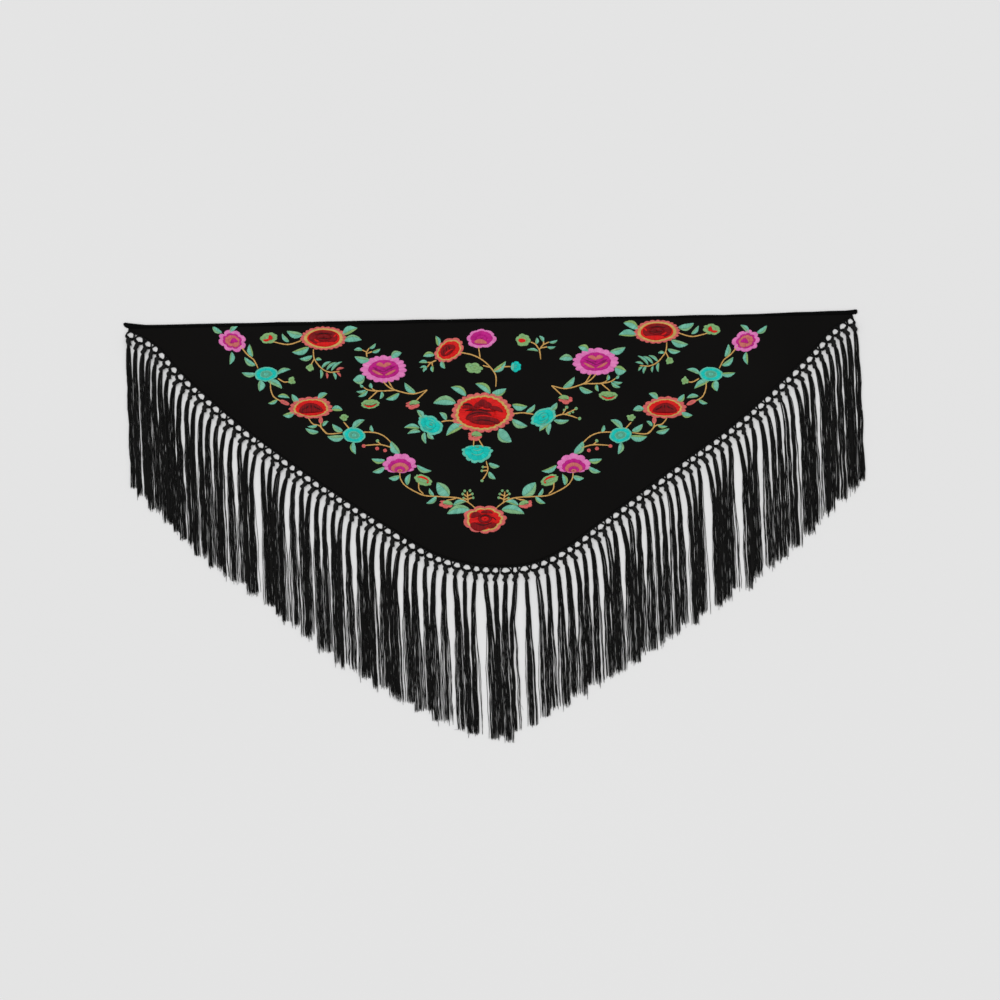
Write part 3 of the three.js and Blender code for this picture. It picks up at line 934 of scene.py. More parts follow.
@dataclass
class Knots:
    """The knots of one side: each a two-lobed bundle wound with its own threads.

    Attributes:
        cut: The shawl's cut.
        falls: How the tassels hang.
        run: The tassels.
        rings: How many rings a knot has, and sides how many points a ring has.
        neck_half: How far a knot's ends reach to the side, and neck_rise upwards.
        swell_half: How much further its middle reaches, and swell_rise upwards.
        oval_middle: Where along it the oval's middle lies, and oval_half how far the oval
            reaches from there, both as shares.
        long: The range of knots' lengths.
        aside: The range of how far a knot's middle swings to the side.
        grown: The range of how large knots are, as a share.
        groove: How deep its grooves are, as a share.
        seat: How high the middle line of a flat ring would lie, seat_share how much of a
            ring's rise is added to that, and seat_most the greatest height.
        squash: A ring's height as a share of a full ellipse's.
        lowest: The least height of its skin.
    """

    cut: Cut
    falls: Falls
    run: Run
    rings: int = 23
    sides: int = 16
    neck_half: float = 2.1
    neck_rise: float = 1.7
    swell_half: float = 2.3
    swell_rise: float = 1.6
    oval_middle: float = 0.47
    oval_half: float = 0.5
    long: tuple = (14.0, 16.5)
    aside: tuple = (0.8, 1.8)
    grown: tuple = (0.9, 1.08)
    groove: float = 0.07
    seat: float = 1.4
    seat_share: float = 0.75
    seat_most: float = 3.55
    squash: float = 0.97
    lowest: float = 0.12

    def build(self) -> Object:
        """Builds each knot as rings along its line. A ring is an ellipse whose reach is a
        blunt oval's over a slim neck. Its middle swings by one sine to one side and then
        further to the other, and shallow grooves wind round it twice.

        Returns:
            The knots of this side.
        """
        rng = np.random.default_rng(SEED + 7 + self.run.first)
        which = self.run.numbers
        n = len(which)
        share = np.linspace(0, 1, self.rings)[None, :]
        t = share * rng.uniform(*self.long, (n, 1))
        points, aside = self.falls.line(which, t)
        hand = rng.choice([-1.0, 1.0], (n, 1))
        from_middle = (share[0] - self.oval_middle) / self.oval_half
        oval = np.sqrt(np.clip(1 - from_middle**4, 0, 1))
        half = self.neck_half + self.swell_half * oval
        rise = self.neck_rise + self.swell_rise * oval
        shift = -rng.uniform(*self.aside, (n, 1)) * np.sin(TAU * share) * (0.6 + 0.7 * share)
        grow = rng.uniform(*self.grown, (n, 1))
        turn = TAU * np.arange(self.sides) / self.sides
        begin = rng.uniform(0, 1, (n, 1, 1))
        winding = turn[None, None, :] * hand[..., None] - TAU * (2 * share[..., None] + begin)
        groove = 1 + self.groove * np.cos(winding)
        wide = (half[None, :] * grow)[..., None] * groove * np.cos(turn)
        wide = wide + (shift * hand)[..., None]
        seat = np.minimum(self.seat_most, self.seat + rise * self.seat_share)
        tall = (rise[None, :] * grow)[..., None] * groove * np.sin(turn) * self.squash
        high = seat[None, :, None] + tall
        flat = points[:, :, None, :] + aside[:, :, None, :] * wide[..., None]
        knots = np.concatenate((flat, np.maximum(high, self.lowest)[..., None]), axis=-1)
        each = self.rings * self.sides
        base = (np.arange(n) * each)[:, None, None]
        quads = (grid_quads(self.rings, self.sides, True)[None] + base).reshape(-1, 4)
        caps = (end_fans(self.rings, self.sides)[:, ::-1][None] + base).reshape(-1, 3)
        u, v = np.broadcast_arrays(turn * 1.1, t[..., None])
        uv = np.stack((u, v), axis=-1).reshape(-1, 2)
        # Painted shade: the knots' tone is kept low, so they are coloured near black with few
        # painted glints, as a knot in shadow looks.
        tone = np.repeat(rng.uniform(0.0, 0.25, n), each)
        maker = MeshMaker("knots_" + self.run.side, [thread_material(FRINGE)])
        maker.add(knots.reshape(-1, 3), quads[:, ::-1], uv, tris=caps, tone=tone)
        return maker.make(self.cut.datum, "fringe_thread", self.run.node)


@dataclass
class Tassels:
    """The hanging threads of a run of tassels.

    Attributes:
        cut: The shawl's cut.
        falls: How the tassels hang.
        run: The tassels.
        part: Whether they are the inner or the outer ones of their side.
        threads: How many threads a tassel has, and rings how many rings a thread has.
        neck: How far along a tassel its threads leave the knot.
        bundle: How wide a tassel is at distances along it: those distances, then half
            widths. pile says the same of its height.
        loose_from: How far out in its tassel a thread must be to hang loose.
        long_ones: The share of threads that are longer, and longer by how much they are.
        short_ones: The share of threads that are shorter, and shorter by how much.
        slow: How far threads wander by slow sines, and crimp by short ones.
        lowest: The least height of a thread's middle.
        thin: The least radius of a thread, and thick the greatest.
        end: How slim a thread's end is, as a share.
    """

    cut: Cut
    falls: Falls
    run: Run
    part: str
    threads: int = 30
    rings: int = 21
    neck: float = 12.5
    bundle: tuple = ((12.5, 15.5, 18, 22, 40, 160), (1.7, 2.1, 3.0, 3.7, 4.1, 4.6))
    pile: tuple = ((12.5, 30, 120, 300), (4.3, 3.6, 3.0, 2.3))
    loose_from: float = 0.45
    long_ones: float = 0.025
    longer: float = 7
    short_ones: float = 0.05
    shorter: float = 14
    slow: float = 0.6
    crimp: float = 0.36
    lowest: float = 0.42
    thin: float = 0.42
    thick: float = 0.6
    end: float = 0.6

    def build(self) -> Object:
        """Builds each thread as a three-sided tube. It leaves the neck of its knot, spreads
        to its own place in the tassel, further where the next tassel leaves it room, wanders
        by slow sines with a small crimp on top, and ends near its neighbours' ends.

        Returns:
            These tassels.
        """
        falls = self.falls
        rng = np.random.default_rng(SEED + 19 + self.run.first)
        which = np.repeat(self.run.numbers, self.threads)
        n = len(which)

        def draw(low: float, high: float) -> np.ndarray:
            return rng.uniform(low, high, (n, 1))

        def wave(t: np.ndarray, low: float, high: float) -> np.ndarray:
            return np.sin(t / draw(low, high) + draw(0, 6.3))

        place, level = draw(-1, 1), draw(0, 1)
        spread = rng.choice([1.6, 2.6, 4.5], TASSELS)[which][:, None]
        length = falls.length[which][:, None] + rng.normal(-0.5, 1.0, (n, 1)) * spread
        length = length + self.longer * (draw(0, 1) > 1 - self.long_ones)
        length = length - self.shorter * (draw(0, 1) > 1 - self.short_ones)
        grid = np.linspace(0, 1, self.rings)[None, :] ** 1.15
        t = self.neck + grid * (length - self.neck)
        points, aside = falls.line(which, t)
        lean = (falls.draw_in + rng.normal(0, 0.35, TASSELS))[which][:, None]
        bundle = np.interp(t, *self.bundle) * rng.uniform(0.88, 1.1, TASSELS)[which][:, None]
        free = np.where(place > 0, falls.free_right[which, None], falls.free_left[which, None])
        loose = np.clip(np.abs(place) - self.loose_from, 0, 1) * np.sign(place) * free
        drift = rng.normal(0, 0.8, (n, 1)) * smooth(t / 260) + loose * smooth((t - 50) / 150)
        slow = self.slow * wave(t, 10, 40)
        ranges = ([[0.3], [9], [0]], [[0.9], [15], [6.3]])
        depth, bend, begin = rng.uniform(*ranges, (3, TASSELS))[:, which, None]
        slow = slow + depth * np.sin(t / bend + begin)
        crimp = self.crimp * wave(t, 3.2, 5.5)
        eased = smooth((t - 14) / 60)
        across = place * bundle + lean * smooth(t / 160) + drift + (slow + crimp) * eased
        flat = points + aside * across[..., None]
        z = 0.5 + level * (np.interp(t, *self.pile) - 0.5) * np.sqrt(1 - 0.7 * place**2)
        z = np.maximum(z + 0.2 * np.sin(t / 17 + level * 40) * eased, self.lowest)
        paths = np.concatenate((flat, z[..., None]), axis=-1)
        radius = draw(self.thin, self.thick) * np.ones((1, self.rings))
        radius[:, -1] *= self.end
        maker = MeshMaker(f"tassels_{self.run.side}_{self.part}", [thread_material(FRINGE)])
        add_tubes(maker, paths, radius, 3, rng.uniform(0, 1, n) ** 1.6)
        return maker.make(self.cut.datum, "fringe_thread", self.run.node)


@dataclass
class StrayHairs:
    """Fine single filaments that have worked loose and lie across the gaps.

    Attributes:
        cut: The shawl's cut.
        falls: How the tassels hang.
        count: How many there are.
        rings: How many rings each has.
        radius: How thick each is.
        from_share: The range of where along a tassel they start, as a share of its length.
        along: The range of how far they go along it, and over how far across.
    """

    cut: Cut
    falls: Falls
    count: int = 46
    rings: int = 9
    radius: float = 0.16
    from_share: tuple = (0.25, 0.95)
    along: tuple = (8, 45)
    over: tuple = (6, 16)

    def build(self) -> Object:
        """Builds each as a thin tube along a shallow bow between two neighbouring tassels.

        Returns:
            The stray hairs.
        """
        rng = np.random.default_rng(SEED + 90)
        one_each = (self.count, 1)
        which = rng.integers(1, TASSELS - 2, self.count)
        share = rng.uniform(*self.from_share, self.count)
        bow = np.linspace(0, 1, self.rings)
        length = self.falls.length[which]
        t = (share * length)[:, None] + bow * rng.uniform(*self.along, one_each)
        points, aside = self.falls.line(which, np.minimum(t, length[:, None]))
        way = rng.choice([-1.0, 1.0], one_each)
        arch = np.sin(np.pi * bow)
        reach = rng.uniform(*self.over, one_each) * way
        across = reach * bow + way * 4 * arch * rng.normal(0, 0.6, one_each)
        flat = points + aside * across[..., None]
        z = 0.6 + 1.6 * arch * rng.uniform(0.2, 1, one_each)
        paths = np.concatenate((flat, z[..., None]), axis=-1)
        maker = MeshMaker("stray_hairs", [thread_material(FRINGE)])
        radius = np.full(paths.shape[:2], self.radius)
        add_tubes(maker, paths, radius, 3, rng.uniform(0, 1, self.count))
        return maker.make(self.cut.datum, "fringe_thread")


# Embroidery: where its motifs lie, in mm.


@dataclass(frozen=True)
class Spot:
    """A place for a flower, bud or berry: a outward from the middle line, and d down."""

    kind: str
    a: float
    d: float
    wide: float
    high: float
    tilt: float = 0.0


@dataclass(frozen=True)
class Leaf:
    """A leaf from its base to its tip. bend is its bow over its length, and salmon says
    that the left-hand one is worked in salmon."""

    base_a: float
    base_d: float
    tip_a: float
    tip_d: float
    wide: float
    bend: float = 0.12
    salmon: bool = False


@dataclass(frozen=True)
class Layout:
    """How a group of motifs lies on the panel.

    Attributes:
        axis: Where its middle line starts at the long edge.
        lean: How far that line runs aside for each mm down.
        slope: How much lower the group lies for each mm to the right.
        mirrored: Whether each motif is worked on both sides of the middle line.
    """

    axis: float
    lean: float
    slope: float
    mirrored: bool

    def place(self, a: np.ndarray, d: np.ndarray, hand: float) -> np.ndarray:
        """Drawing positions of points: hand -1 is the left side, and +1 the right."""
        side = a * hand
        x = self.axis - self.lean * d + side
        return np.stack((x, -(d + self.slope * side)), axis=-1)


GARLAND_SPOTS = read_rows(
    Spot,
    ("pink_heart", 462, 35.3, 52, 39, -18), ("turquoise", 400, 95, 43, 26, 4),
    ("olive_bud", 354.2, 107, 14, 14, -65), ("salmon_bud", 366, 146, 19, 7.5, -24),
    ("red_oval", 318, 155, 80, 40, 0), ("salmon_bud", 300, 178, 8, 12, 0),
    ("turquoise", 239.6, 204.6, 41, 28, -8), ("olive_bud", 258.2, 173.6, 16, 13, 0),
    ("salmon_berry", 221.9, 224.2, 7, 6.5), ("salmon_berry", 197.7, 228.7, 7, 6.5),
    ("salmon_berry", 183.3, 232.1, 7, 6.5), ("green_berry", 197.2, 215, 6, 6),
    ("pink_fan", 156.4, 255, 63, 36, 0), ("red_cap", 113.7, 285.6, 34, 19, -22),
    ("pink_bud", 71, 328.6, 25, 15, -8), ("green_berry", 38.5, 305.2, 5, 5),
    ("green_berry", 29, 304.5, 5, 5), ("green_berry", 41.9, 310.4, 5, 5),
    ("green_berry", 24.8, 310.4, 5, 5), ("green_berry", 40.3, 318.2, 5, 5),
    ("green_berry", 23, 317.3, 5, 5),
)
GARLAND_LEAVES = read_rows(
    Leaf,
    (481, 21, 499, 7, 9), (467, 21, 451, 6.5, 8.5), (463, 55, 466, 78, 9),
    (425, 64, 430.6, 41, 9.5), (419.5, 79.7, 440, 64, 9.5), (418, 94.4, 444, 92, 9),
    (381, 95.2, 356, 86.5, 8), (409.5, 106, 411.5, 126, 13), (397, 107, 370.7, 121, 11),
    (378.5, 140.5, 395.5, 147.5, 6.5), (378.6, 134.8, 356.8, 138.2, 7.5), (340, 144, 353, 131, 10),
    (306, 140, 289, 129.5, 10), (281, 157.8, 261, 160, 10.5), (348, 163.9, 368.5, 169, 10),
    (303.5, 199.2, 327.6, 192.2, 8.5), (305.3, 186.4, 324.2, 188.8, 5.5),
    (296.6, 188.8, 285.7, 179.4, 6.5), (260, 197.5, 279.4, 184.6, 10), (243.2, 194, 221, 177, 10.5),
    (257, 207, 287.8, 207, 12), (241, 217, 236, 239, 10.5, -0.12),
    (205.3, 199.2, 209.6, 186.4, 6.5), (157.2, 238, 172.9, 215.6, 14),
    (183, 250.1, 207.5, 247.3, 9.5), (183, 262, 205.4, 270.7, 9),
    (126, 258.6, 98.8, 269, 9.5, -0.15), (155.7, 278.4, 176, 281.8, 9),
    (142.2, 294.8, 136.3, 274.3, 9.5), (93.6, 313.9, 102.4, 300, 6.5),
    (66.2, 313.9, 88.9, 289.7, 21, 0.05), (88.6, 314.5, 107.3, 327.5, 8.5),
    (58.9, 331, 34.9, 324, 8.5), (28.7, 338.4, 69.8, 346, 16, -0.1),
)
GARLAND_STEMS = (
    ((450.5, 40), (435.5, 59), (423, 69.2), (414.8, 84.7)),
    ((378.8, 102.7), (368.2, 108.8), (359.8, 108.8)),
    ((391.9, 108), (391.4, 121), (387.4, 133), (381, 139), (373, 143)),
    ((322.7, 174), (314, 184.6), (302, 188), (288, 201.9), (260.4, 200.1)),
    ((300.2, 181.2), (298.4, 191.5), (288, 201.9)), ((248.3, 193), (258.7, 181.2)),
    ((224, 199.2), (201.8, 200.1), (184.6, 207.1), (172.1, 219)),
    ((170.3, 227.6), (191, 221.9), (220.1, 223.1)), ((191, 221.9), (197, 216)),
    ((155.7, 270.7), (154.6, 282.7), (144, 296.6), (114.6, 312), (90.4, 314.8),
     (52.4, 317.3), (31.7, 325.9), (14, 340)),
    ((121.6, 289.7), (120.7, 301.8), (112.7, 310.3)), ((71, 322), (60, 320), (52.4, 317.3)),
    ((31.7, 325.9), (34, 306)), ((33, 316), (40, 311)), ((33, 314), (26, 311)),
    ((32, 321), (40, 318)), ((32, 320), (24, 317)),
)
TOP_SPOTS = read_rows(
    Spot,
    ("red_round", 299.8, 24.5, 84, 43, -1), ("red_comma", 398.5, 22.3, 32, 20, 8),
    ("olive_bud", 323.2, 76.5, 14, 14, 160),
)
TOP_LEAVES = read_rows(
    Leaf,
    (338, 17.7, 366.7, 10.2, 12.5), (325.9, 40.3, 356.6, 48.3, 12.5), (266, 19.1, 239.2, 7.6, 14),
    (263, 29.5, 231, 29.1, 13), (361.9, 29.9, 374.8, 14.6, 7.5), (319.4, 55.9, 342.9, 60.7, 8.5),
    (314.4, 62.9, 302.3, 63.2, 5.5), (302.6, 78.7, 285.2, 66.9, 5.5), (294, 82.4, 274.9, 68.1, 5.5),
    (285.4, 84.3, 265.5, 67.3, 5.5), (304.4, 80, 304, 97.6, 5.5),
    (294.1, 85.8, 292.6, 97.9, 4.5, 0.1, True), (282, 86.1, 277.1, 100, 5.5),
    (276.8, 82.7, 261.8, 78.9, 4.5, 0.1, True), (275.2, 86.3, 267.6, 95, 4.5, 0.1, True),
)
TOP_STEMS = (
    ((340, 28), (363.8, 34.4), (391, 29)),
    ((318.1, 43.9), (316, 61.2), (302.6, 78.7), (287.2, 85.9), (270, 84.5)),
    ((316, 61.2), (322, 72)),
)
BRANCH_SPOTS = read_rows(
    Spot,
    ("pink_wide", 190.5, 79.4, 84, 50, 0), ("red_bud", 214, 141.5, 34, 17, 3),
    ("pink_bud", 136.7, 144.7, 26, 16, 10),
)
BRANCH_LEAVES = read_rows(
    Leaf,
    (178, 60, 159, 51, 13), (216, 62.2, 244, 54.7, 12), (225, 91.3, 246, 97.8, 17),
    (226.5, 110.8, 233.5, 104.6, 5), (219, 117, 236.3, 127, 6.5), (222, 116, 240, 118, 5.5),
    (211.8, 113.7, 213.9, 103, 6.5), (193, 119.6, 196.8, 133.2, 6.5),
    (132.9, 124.2, 153, 104.8, 10.5), (162, 123.6, 186.4, 133.4, 9.5),
)
BRANCH_STEMS = (
    ((192, 101), (182.6, 111), (168.9, 118.2), (138, 125.7), (112, 119.4)),
    ((182.3, 101), (173.9, 114.7), (168.9, 118.2)),
    ((168.9, 118.2), (199.9, 118.5), (218, 116), (226.8, 110.6)),
    ((199, 118.6), (206.5, 117), (211.8, 113.3)), ((201.7, 119), (217.5, 133.1)),
    ((112, 119.4), (131.3, 138)),
)
MIDDLE_SPOTS = read_rows(
    Spot,
    ("red_tilted", -74.6, 50.5, 58, 40, 30), ("pink_small", -16, 31, 54, 35, 2),
    ("sage_bud", -30.5, 83.4, 33, 20, -12), ("turquoise_bud", 45.3, 82.2, 19, 20, 0),
    ("spotted_bud", 59, 34.9, 27, 23, -5), ("peony", -17, 164.2, 114, 73, 0),
    ("turquoise_rose", -111, 184.2, 48, 33, -27), ("turquoise_rose", 93.1, 174.4, 49, 31, 24),
    ("green_berry", 135.1, 157.3, 6, 6), ("green_berry", 152, 160, 6, 6),
    ("green_berry", 146, 165.8, 5, 5), ("green_berry", 139.8, 168.4, 5, 5),
    ("green_berry", 157.8, 178.1, 6, 6), ("green_berry", 130.6, 162.4, 5, 5),
    ("pink_bud", -30.5, 205.4, 26, 18, 0), ("turquoise_fan", -27.7, 238.5, 57, 33, 180),
    ("green_berry", -17.8, 261.8, 5, 5), ("green_berry", -19.7, 268.7, 5, 5),
    ("green_berry", 2.9, 260.5, 5, 5), ("green_berry", -20, 286.5, 6, 5),
    ("bottom_red", -17.1, 356, 79, 51, 0),
)
MIDDLE_LEAVES = read_rows(
    Leaf,
    (-101, 58.6, -121.7, 60.6, 10), (-93.8, 42.5, -98.2, 24.2, 9), (-88.1, 69, -82.5, 83.8, 8.5),
    (-113.6, 71.7, -129.7, 71.6, 6), (-114.5, 80.2, -128, 81.2, 4.5),
    (-114.5, 80.6, -122.3, 89.3, 5.5), (-104.9, 77.8, -104.2, 89.6, 6.5),
    (-230.2, 47.3, -245.8, 47.2, 6.3), (-213.4, 51.1, -197.8, 45, 6.3),
    (-217.9, 44.6, -206, 35.4, 5.8), (3.8, 90, 27.3, 72.2, 11), (82.1, 42.6, 83.7, 30.6, 6.5),
    (95.9, 38.8, 87.8, 27.8, 6.5), (105.4, 39.8, 121.2, 35.9, 5), (101.5, 48.1, 117.6, 47.7, 5),
    (86.4, 55.5, 65.2, 53.2, 5), (-45.5, 133, -72.9, 117, 13), (-1.4, 130, -28.6, 111.7, 13),
    (1, 129.5, 27.3, 121.4, 12.5), (-64, 145.5, -105.1, 145.3, 17), (37, 150.9, 64.6, 154.2, 12.5),
    (36, 177.5, 63.9, 190, 13), (-50, 185, -82.8, 204.3, 15), (12.5, 194, 34.7, 218, 20),
    (-81.6, 176.1, -94.1, 162.1, 9), (-124, 172, -134.6, 157.2, 10),
    (-130.1, 189.5, -158.4, 188.4, 9), (-128.5, 195.9, -152.7, 199.5, 7.5),
    (-122, 197, -119.3, 217.8, 8.5), (-116, 196.5, -104.7, 210.1, 9), (61.6, 165.2, 78.4, 151, 8.5),
    (104.8, 161.5, 118.1, 148.4, 9.5), (111, 179.9, 138.8, 180.5, 8.5), (101, 186, 85.1, 199.4, 10),
    (105.5, 185.5, 101.4, 206.6, 9), (148, 70.3, 123.2, 70.7, 12), (-7.3, 255.1, 12.5, 261.4, 8.5),
    (-7.6, 270.6, 4.8, 284, 9),
)
MIDDLE_STEMS = (
    ((-56, 54.5), (-32.8, 59.9), (-15.7, 68.9), (-0.5, 83), (8.5, 98.7), (8.1, 118)),
    ((-21.5, 45), (-19.1, 65.4)), ((-14.2, 79.3), (-0.5, 83)),
    ((4.5, 91.7), (18.4, 83.4), (37, 82)),
    ((72.4, 38.7), (80.5, 42.5), (86.8, 51.3), (88.7, 57.7), (90.1, 70.3)),
    ((87.3, 53), (95.2, 44), (105.9, 39.4)), ((95.2, 44), (96, 38)), ((90.5, 49.7), (102, 47.8)),
    ((-91, 179), (-79.9, 177.2), (-62, 178.5)), ((38, 167), (56.4, 165.8), (75.3, 168.9)),
    ((112, 174), (130.4, 170), (154.4, 177.3)), ((127, 170), (134.1, 159)),
    ((131, 170), (151, 161)), ((-33.1, 211), (-34.3, 227)), ((-25.5, 210), (-15.4, 228)),
    ((-11.8, 251), (-9.3, 268.8), (-20, 285.8)), ((-10.5, 262), (-17.8, 261.8)),
    ((-9.5, 268), (-19, 268.7)), ((-98, 68.3), (-107.6, 72.4), (-115, 80.4)),
    ((-107.2, 72), (-114.2, 71.7)), ((-105.8, 71.8), (-105, 78.6)),
    ((-222.4, 60), (-223, 51.7), (-218, 43.5)), ((-222.9, 51.1), (-230.8, 47)),
    ((-222.3, 53.4), (-213, 50.2)),
)
GARLAND = (Layout(-0.6, 0.0405, 0.0197, True), GARLAND_SPOTS, GARLAND_LEAVES, GARLAND_STEMS)
TOP_ROW = (Layout(1.0, 0.037, 0.0, True), TOP_SPOTS, TOP_LEAVES, TOP_STEMS)
BRANCH = (Layout(1.0, 0.037, -0.0147, True), BRANCH_SPOTS, BRANCH_LEAVES, BRANCH_STEMS)
MIDDLE = (Layout(0.0, 0.0, 0.0, False), MIDDLE_SPOTS, MIDDLE_LEAVES, MIDDLE_STEMS)


# Embroidery: how its flowers are made up.


@dataclass(frozen=True)
class Ring:
    """A ring of satin stitches in a flower, in the flower's half sizes.

    Attributes:
        scale: Its outer edge.
        silk: Its thread.
        lobes: How many scallops that edge has.
        depth: How deep the notches between them are, as a share.
        drop: How far its middle sits below the flower's.
        aside: How far its middle sits to the right.
    """

    scale: float
    silk: Silk
    lobes: int = 0
    depth: float = 0.0
    drop: float = 0.0
    aside: float = 0.0


@dataclass(frozen=True)
class Stroke:
    """A lens-shaped band of stitches laid over a flower, in its half sizes. thick is in
    the flower's heights, bend in the stroke's lengths and tilt in degrees."""

    silk: Silk
    x: float
    y: float
    reach: float
    thick: float
    bend: float = 0.0
    tilt: float = 0.0


@dataclass(frozen=True)
class Bloom:
    """A flower's make-up: its rings from the outside in, then the strokes on top.

    Attributes:
        rings: Its rings.
        strokes: Its strokes.
        uneven: How much its scallops differ in width and depth.
        foot: The height of its lower half over that of its upper half.
        taper: How much wider it grows upwards.
    """

    rings: tuple
    strokes: tuple
    uneven: float = 0.3
    foot: float = 1.0
    taper: float = 0.0


def bloom(rings: tuple, *strokes: tuple, **form: float) -> Bloom:
    """A flower's make-up from a row for each ring and each stroke, and its form."""
    return Bloom(read_rows(Ring, *rings), read_rows(Stroke, *strokes), **form)


